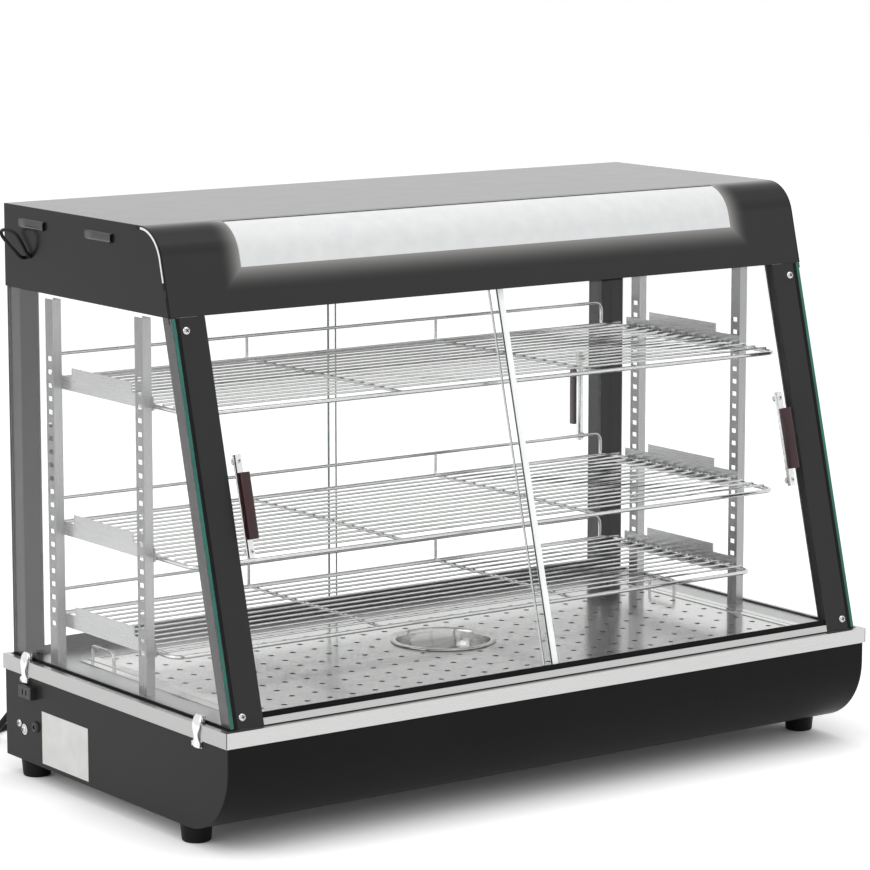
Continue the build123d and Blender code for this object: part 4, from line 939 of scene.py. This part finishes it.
def makeLatches():
    line = latches["line"]
    pinOut, pinZ, radius, long = latches["pin"]
    gap, thin, below, above = latches["ear"]
    plates = bmesh.new()
    for node in [n for n in nodes if n.startswith("latch_lever")]:
        low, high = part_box(node)
        side = 1 if low.x > 0 else -1
        y = (low.y + high.y) / 2 + latches["shift"]["rear" if "rear" in node else "front"] * 0.001
        bm = bmesh.new()
        made = bmesh.ops.create_grid(bm, x_segments=len(line) - 1, y_segments=6, size=1)
        for v in made["verts"]:
            out, z, half = line[round((v.co.x + 1) / 2 * (len(line) - 1))]
            crown = latches["crown"] * (1 - v.co.y ** 2)
            v.co = Vector((side * (cabinet["sideX"] + out + crown), y * 1000 + v.co.y * half, z)) * 0.001
        bmesh.ops.recalc_face_normals(bm, faces=bm.faces)
        bmesh.ops.solidify(bm, geom=bm.faces[:], thickness=latches["thick"] * 0.001)
        bmesh.ops.subdivide_edges(bm, edges=bm.edges[:], cuts=1, use_grid_fill=True, smooth=0.6)
        pin = bmesh.new()
        bmesh.ops.create_cone(
            pin, cap_ends=True, segments=20, radius1=radius * 0.001, radius2=radius * 0.001,
            depth=long * 0.001, matrix=Matrix.Rotation(math.pi / 2, 4, "X")
        )
        stamp(bm, pin, Matrix.Translation((side * (cabinet["sideX"] + pinOut) * 0.001, y, pinZ * 0.001)))
        body = node.replace("latch_lever", "latch")
        newPiece(node + "_sheet", bm, finish["latch"], body, [node], 50)
        for half, z0, z1, out0, out1 in (latches["plate"], latches["strike"]):
            x0, x1 = sideSpan(side, cabinet["sideX"] + out0, cabinet["sideX"] + out1)
            slab(plates, (x0, y * 1000 - half, z0), (x1, y * 1000 + half, z1), Matrix(), 0.5)
        x0, x1 = sideSpan(side, cabinet["sideX"], cabinet["sideX"] + pinOut + radius)
        for end in (-1, 1):
            middle = y * 1000 + end * (long / 2 + gap)
            slab(plates, (x0, middle - thin, pinZ - below), (x1, middle + thin, pinZ + above), Matrix(), 0.3)
    newPiece("latch_hinge_plates", plates, finish["latch"], "cabinet", ["latch_plates"], 40)


makeLatches()


# Handles: steel bar on two round spacers, moulded grip over its middle
handles = {
    "gap": 0.1,
    "bar": (7.6, 112.0, 4.2, 10.4),
    "barRound": 0.7,
    "spacing": 98.0,
    "spacer": 3.7,
    "collar": (1.2, 1.8, 0.8),  # end of its straight part, end of its cone, step to the neck
    "screw": (2.6, 1.0),
    "grip": (12.0, 72.0, 11.4, 21.0),
    "gripRound": 3.2,
    "gripEdge": 0.6,
    "shift": {"left": -4.6, "right": -2.5},
    "rearY": {"left": 217.1, "right": 223.1},
}


def handlePlaces():
    for label, side in (("left", -1), ("right", 1)):
        w = cabinet["leftPaneW"] if side < 0 else cabinet["rightPaneW"]
        x = side * cabinet["handleX"]
        yield "front", label, onSlope(x + handles["shift"][label], cabinet["handleZ"], w + handles["gap"])
        yield "rear", label, onBack(x, cabinet["handleZ"], handles["rearY"][label] - cabinet["plateY"])


def longFrontEdges(bm, place, high):
    out, along = (place.to_3x3() @ Vector(axis) for axis in ((0, 0, 1), (0, 1, 0)))
    for edge in bm.edges:
        run = (edge.verts[0].co - edge.verts[1].co).normalized()
        rise = min((v.co - place.translation).dot(out) for v in edge.verts)
        if rise > high * 0.0009 and abs(run.dot(along)) > 0.9:
            yield edge


def makeHandles():
    for face, label, place in handlePlaces():
        name = f"{face}_{label}"
        body = name + "_door"
        wide, long, low, high = handles["bar"]
        bm = bmesh.new()
        slab(bm, (-wide / 2, -long / 2, low), (wide / 2, long / 2, high), place, handles["barRound"])
        newPiece(name + "_bar", bm, finish["handle"], body, [f"{face}_handle_{label}"], 40)
        spacers, marks = bmesh.new(), bmesh.new()
        radius = handles["spacer"]
        straight, cone, step = handles["collar"]
        neck = radius - step
        spacer = lathe([(0, 0), (radius, 0), (radius, straight), (neck, cone), (neck, low), (0, low)], 24)
        for s in (-1, 1):
            foot = place @ Matrix.Translation((0, s * handles["spacing"] / 2 * 0.001, 0))
            stamp(spacers, spacer, foot)
            addScrew(spacers, marks, foot @ Matrix.Translation((0, 0, high * 0.001)), *handles["screw"])
        newPiece(name + "_handle_spacers", spacers, finish["screw"], body)
        newPiece(name + "_handle_recesses", marks, finish["plastic"], body, (), 0)
        bm = bmesh.new()
        wide, long, low, high = handles["grip"]
        slab(bm, (-wide / 2, -long / 2, low), (wide / 2, long / 2, high), place)
        roundOff(bm, list(longFrontEdges(bm, place, high)), handles["gripRound"], 4, 0.6)
        rest = [e for e in bm.edges if e.calc_face_angle(0) > 1.0]
        roundOff(bm, rest, handles["gripEdge"], 2)
        newPiece(name + "_grip", bm, finish["grip"], body, [f"{face}_grip_{label}"], 40)


makeHandles()
print("screws and handles made")


# Hood: painted highlight along the bend, a glowing strip on the side's rounded edge; pressed louvres
hood = {
    "top": 660.0,
    "radius": 43.4,
    "sideX": 441.4,
    "line": (39.4, 41.9),
    "lineDown": 25.0,
    "cap": 8.0,
    "seamStart": 7.6,
    "seamDown": 29.0,
    "seamThick": 0.8,
    "lineProud": (-0.4, 0.35),
    "louvres": (203.0, 56.5),
    "louvreLength": 61.5,
    "louvreHalf": 5.3,
    "louvreRise": 3.2,
    "louvreZ": 641.0,
    "louvreRamp": 0.35,
    "louvreSink": 0.15,
    "louvreSheet": 0.5,
    "mouthY": (0.8, 1.4),
    "mouthShares": (0.8, 0.86),  # of the louvre's rise and of its half height
}


def frontY(z):
    return cabinet["slopeY"] + (z - cabinet["slopeZ"]) * math.tan(math.radians(cabinet["slopeTurn"]))


def makeEdgeLines():
    turn = math.radians(cabinet["slopeTurn"])
    sweep = math.pi / 2 - turn
    middleY = frontY(hood["top"]) + hood["radius"] * math.tan(sweep / 2)
    middleZ = hood["top"] - hood["radius"]
    down = Vector((0, -math.sin(turn), -math.cos(turn)))
    for side, label in ((-1, "left"), (1, "right")):
        lit, dark = bmesh.new(), bmesh.new()
        x0, x1 = sideSpan(side, *(hood["sideX"] + out for out in hood["lineProud"]))
        r0, r1 = hood["line"]
        corners = [spot(x, middleY, middleZ + r) for x, r in ((x0, r0), (x1, r0), (x1, r1), (x0, r1))]
        face = lit.faces.new([lit.verts.new(c) for c in corners])
        made = bmesh.ops.spin(
            lit, geom=[face], cent=spot(0, middleY, middleZ), axis=(1, 0, 0), dvec=(0, 0, 0), angle=sweep,
            steps=16, use_merge=False
        )
        last = [g for g in made["geom_last"] if isinstance(g, bmesh.types.BMFace)]
        corners = [v.co + down * hood["lineDown"] * 0.001 for v in last[0].verts]
        pullFaces(lit, last, down * hood["lineDown"] * 0.001)
        face = dark.faces.new([dark.verts.new(c) for c in corners])
        tip, _ = pullFaces(dark, [face], down * hood["cap"] * 0.001)
        ends = [v.co + down * hood["seamStart"] * 0.001 for v in sorted(tip, key=lambda v: v.co.y)[:2]]
        inner = Vector((0, math.cos(turn), -math.sin(turn))) * hood["seamThick"] * 0.001
        ends += [end + inner for end in reversed(ends)]
        face = dark.faces.new([dark.verts.new(c) for c in ends])
        pullFaces(dark, [face], down * hood["seamDown"] * 0.001)
        slab(dark, (x0, middleY, middleZ + r0), (x1, middleY + hood["cap"], middleZ + r1), bandPlace)
        # painted highlight: the strip along the side's rounded edge glows with the lens finish
        newPiece(f"hood_edge_highlight_{label}", lit, finish["opal"], "cabinet", (), 30)
        newPiece(f"hood_edge_end_{label}", dark, finish["rubber"], "cabinet", (), 0)


makeEdgeLines()


# Dark seams: lens edge, sill, band corners and sides, foot of the rear doors, seals beside the glass
seams = {
    "lens": ((-342.7, -73.2, 657.2), (342.7, -71.4, 659.6)),
    "sill": ((-397.2, -231.9, 138.6), (397.2, -231.2, 139.7)),
    "rear": ((-397.0, 208.6, 143.0), (397.0, 210.6, 156.0)),
    "corner": (449.5, 450.12, -240.12, -239.5, 122.0, 138.5),
    "side": (441.6, 442.5, -231.0, 233.0, 138.6, 139.3),
    "seal": (430.4, 434.5, 0.0, 0.5, 139.2, 565.5),
}


def makeSeams():
    bm = bmesh.new()
    for name in ("lens", "sill", "rear"):
        slab(bm, *seams[name], bandPlace)
    for side in (-1, 1):
        for name in ("corner", "side"):
            near, far, y0, y1, z0, z1 = seams[name]
            x0, x1 = sideSpan(side, near, far)
            slab(bm, (x0, y0, z0), (x1, y1, z1), bandPlace)
        near, far, w0, w1, z0, z1 = seams["seal"]
        x0, x1 = sideSpan(side, near, far)
        slab(bm, (x0, slopeU(z0), w0), (x1, slopeU(z1), w1), slopeFrame)
    newPiece("dark_seams", bm, finish["rubber"], "cabinet", (), 0)


makeSeams()


def makeLouvres():
    half, rise, long = hood["louvreHalf"], hood["louvreRise"], hood["louvreLength"]
    for side, label in ((-1, "left"), (1, "right")):
        skin, dark = bmesh.new(), bmesh.new()
        for back in hood["louvres"]:
            shell = bmesh.new()
            made = bmesh.ops.create_grid(shell, x_segments=14, y_segments=10, size=1)
            for v in made["verts"]:
                along, across = (v.co.x + 1) / 2, v.co.y
                ramp = min(along / hood["louvreRamp"], 1)
                ramp = 0.5 * rise * ramp * ramp * (3 - 2 * ramp) + 0.5 * rise * along
                out = ramp * (1 - across ** 4) ** 0.6 - hood["louvreSink"]
                v.co = Vector((side * (hood["sideX"] + out), back - along * long, across * half)) * 0.001
            bmesh.ops.recalc_face_normals(shell, faces=shell.faces)
            if sum(f.normal.x * side for f in shell.faces) < 0:
                bmesh.ops.reverse_faces(shell, faces=shell.faces[:])
            bmesh.ops.solidify(shell, geom=shell.faces[:], thickness=hood["louvreSheet"] * 0.001)
            place = Matrix.Translation(spot(0, 0, hood["louvreZ"]))
            stamp(skin, shell, place)
            riseShare, halfShare = hood["mouthShares"]
            x0, x1 = sideSpan(side, hood["sideX"], hood["sideX"] + rise * riseShare)
            y0, y1 = (back - long + gap for gap in hood["mouthY"])
            # painted shade: a black slab fills the louvre's opening
            slab(dark, (x0, y0, -half * halfShare), (x1, y1, half * halfShare), place)
        newPiece(f"louvres_{label}", skin, finish["louvre"], "cabinet", (), 50)
        newPiece(f"louvre_mouths_{label}", dark, finish["rubber"], "cabinet", (), 0)


makeLouvres()
print("hood dressed")


# Left side of the base: bare plate and bush
leftSide = {
    "plate": (52.0, 155.0, 25.0, 86.0),
    "plateThick": 0.4,
    "plateRound": 0.2,
    "bush": (168, 65),
    "bushProfile": ((0, 0), (6.5, 0), (6.5, 1.5), (5.6, 3.2), (4.2, 4.0), (2.6, 4.2), (2.4, 2.6), (0, 2.4)),
}


def makeLeftSide():
    bm = bmesh.new()
    y0, y1, z0, z1 = leftSide["plate"]
    halfY, halfZ = (y1 - y0) / 2, (z1 - z0) / 2
    place = onLeft(y0 + halfY, z0 + halfZ)
    slab(bm, (-halfY, -halfZ, 0), (halfY, halfZ, leftSide["plateThick"]), place, leftSide["plateRound"], 1)
    newPiece("bare_plate", bm, finish["label"], "cabinet", (), 0)
    bm = bmesh.new()
    stamp(bm, lathe(leftSide["bushProfile"], 28), onLeft(*leftSide["bush"]))
    newPiece("cord_bush", bm, finish["plastic"], "cabinet")


makeLeftSide()


# Control panel: border line, and knob with its scale
panel = {
    "plate": (-419.4, -159.5, 32.6, 107.0),
    "lineInset": 4.5,
    "lineCorner": 7.0,
    "lineWidth": 0.9,
    "lineThick": 0.08,
    "lineOut": 0.1,
    "dialX": -211.8,
    "dialZ": 68.6,
    "dialOut": 1.0,
    "numbers": (30, 40, 50, 60, 70, 80),
    "firstTurn": 190.0,
    "lastTurn": -10.0,
    "numberSize": 3.6,
    "numberRadius": 26.1,
    "numberOut": 3.72,
    "numberHalfThick": 0.06,
    "skirt": ((0, 0), (30.4, 0), (31, 0.5), (30.9, 1.0), (29.6, 3.3), (28.9, 3.6), (24, 3.7), (0, 3.7)),
    "skirtTop": 3.7,
    "knobRadius": 24.0,
    "flutes": 36,
    "fluteDepth": 0.028,
    "knobSteps": ((17.3, 0.985), (1.6, 0.96), (1.0, 0.93), (0.0, 0.8), (-1.4, 0.96)),
    "smallTick": (0.2, 28.2, 29.1, 3.55),
    "bigTick": (0.25, 28.6, 29.6, 3.5),
    "tickRise": 0.2,
}


def roundedRing(halfX, halfY, radius, width):
    # flat ring between two rounded rectangles
    bm = bmesh.new()
    loops = []
    for grow in (0, -width):
        made = bmesh.ops.create_grid(bm, x_segments=1, y_segments=1, size=1)
        for v in made["verts"]:
            v.co = Vector((v.co.x * (halfX + grow), v.co.y * (halfY + grow), 0)) * 0.001
        bmesh.ops.bevel(
            bm, geom=made["verts"], offset=(radius + grow) * 0.001, segments=8, profile=0.5,
            affect="VERTICES", material=-1
        )
        face = next(iter(bm.faces))
        loops.append(list(face.edges))
        bmesh.ops.delete(bm, geom=[face], context="FACES_ONLY")
    bmesh.ops.bridge_loops(bm, edges=loops[0] + loops[1])
    return bm


def makePanelLine():
    x0, x1, z0, z1 = panel["plate"]
    inset = panel["lineInset"]
    halfX, halfZ = (x1 - x0) / 2 - inset, (z1 - z0) / 2 - inset
    ring = roundedRing(halfX, halfZ, panel["lineCorner"], panel["lineWidth"])
    bmesh.ops.solidify(ring, geom=ring.faces[:], thickness=panel["lineThick"] * 0.001)
    bm = bmesh.new()
    stamp(bm, ring, onBack((x0 + x1) / 2, (z0 + z1) / 2, panel["lineOut"]))
    newPiece("panel_border", bm, finish["line"], "cabinet", (), 0)


makePanelLine()


def printNumber(bm, text, place):
    words = bpy.data.curves.new("number", "FONT")
    words.body = text
    words.size = panel["numberSize"] * 0.001
    words.extrude = panel["numberHalfThick"] * 0.001
    words.align_x = "CENTER"
    words.align_y = "CENTER"
    holder = addObject("number", words)
    bpy.context.view_layer.update()
    mesh = bpy.data.meshes.new_from_object(holder)
    mesh.transform(place)
    bm.from_mesh(mesh)
    bpy.data.objects.remove(holder)


def makeDial():
    place = onBack(panel["dialX"], panel["dialZ"], panel["dialOut"])
    skirt = lathe(panel["skirt"], 72)
    grip = bmesh.new()
    made = bmesh.ops.create_circle(
        grip, cap_ends=True, segments=panel["flutes"] * 4, radius=panel["knobRadius"] * 0.001
    )
    for i, v in enumerate(made["verts"]):
        v.co *= 1 - panel["fluteDepth"] * (i % 4 in (1, 2))
    top = grip.faces[:]
    for rise, scale in panel["knobSteps"]:
        verts, top = pullFaces(grip, top, (0, 0, rise * 0.001))
        bmesh.ops.scale(grip, verts=verts, vec=(scale, scale, 1))
    bm = bmesh.new()
    stamp(bm, skirt, place)
    stamp(bm, grip, place @ Matrix.Translation((0, 0, panel["skirtTop"] * 0.001)))
    newPiece("dial_knob", bm, finish["plastic"], "dial", ["temperature_dial"], 30)
    prints = bmesh.new()
    first, last = panel["firstTurn"], panel["lastTurn"]
    steps = len(panel["numbers"]) - 1

    def atShare(share):
        angle = math.radians(first + (last - first) * share)
        return place @ Matrix.Rotation(angle - math.pi / 2, 4, "Z")

    onSkirt = Matrix.Translation(Vector((0, panel["numberRadius"], panel["numberOut"])) * 0.001)
    for i, number in enumerate(panel["numbers"]):
        printNumber(prints, str(number), atShare(i / steps) @ onSkirt)
    ticks = steps * 5
    for i in range(ticks + 1):
        half, inner, outer, z = panel["smallTick" if i % 5 else "bigTick"]
        slab(prints, (-half, inner, z), (half, outer, z + panel["tickRise"]), atShare(i / ticks))
    newPiece("dial_scale", prints, finish["print"], "dial", (), 0)


makeDial()
print("controls made")


# Floor, backdrop and light
studio = {
    "floor": 0.82,
    "floorMottle": 0.01,
    "floorRadius": 9,
    "lift": 0.54,
    "paintedShadowReach": 0.09,
    "ambient": 0.62,
    "lamps": {"keyLamp": ((-3.2, 0.4, 2.2), 2.4, 34), "topLamp": ((0.2, -0.6, 3.2), 2.6, 22)},
    "aim": (0, 0, 0.3),
}


def lightPathShare(tree):
    path = tree.nodes.new("ShaderNodeLightPath")
    direct = calculate(tree, "MAXIMUM", path.outputs["Is Camera Ray"], path.outputs["Is Glossy Ray"])
    return calculate(tree, "MAXIMUM", direct, path.outputs["Is Transmission Ray"])


def setStudio():
    world = bpy.data.worlds.new("studioWorld")
    bpy.context.scene.world = world
    world.use_nodes = True
    tree = world.node_tree
    background = tree.nodes["Background"]
    background.inputs["Color"].default_value = (1, 1, 1, 1)
    ambient = spread(tree, lightPathShare(tree), studio["ambient"], 1, 0, 1)
    tree.links.new(ambient, background.inputs["Strength"])
    bm = bmesh.new()
    bmesh.ops.create_circle(bm, cap_ends=True, segments=96, radius=studio["floorRadius"])
    mesh = bpy.data.meshes.new("studioFloor")
    bm.to_mesh(mesh)
    bm.free()
    floor = addObject("studioFloor", mesh)
    dull, bright = ((studio["floor"] + more,) * 3 for more in (0, studio["floorMottle"]))
    material, tree, shader = startMaterial("studioFloor", dull, 0, 0.9)
    shader.inputs["Specular IOR Level"].default_value = 0.1
    tree.links.new(blendColors(tree, noise(tree, 3), dull, bright), shader.inputs["Base Color"])
    shader.inputs["Emission Color"].default_value = (1, 1, 1, 1)
    # painted contact shadow: ambient occlusion cuts the floor's glow near the cabinet
    near = tree.nodes.new("ShaderNodeAmbientOcclusion")
    near.samples = 8
    near.inputs["Distance"].default_value = studio["paintedShadowReach"]
    lift = spread(tree, lightPathShare(tree), 0, studio["lift"], 0, 1)
    tree.links.new(calculate(tree, "MULTIPLY", lift, near.outputs["AO"]), shader.inputs["Emission Strength"])
    mesh.materials.append(material)
    for name, (place, size, power) in studio["lamps"].items():
        data = bpy.data.lights.new(name, "AREA")
        data.shape = "DISK"
        data.size = size
        data.energy = power
        lamp = addObject(name, data)
        lamp.location = place
        lamp.rotation_euler = (Vector(studio["aim"]) - Vector(place)).to_track_quat("-Z", "Y").to_euler()


setStudio()
bpy.context.scene.view_settings.view_transform = "Standard"
print("studio set")
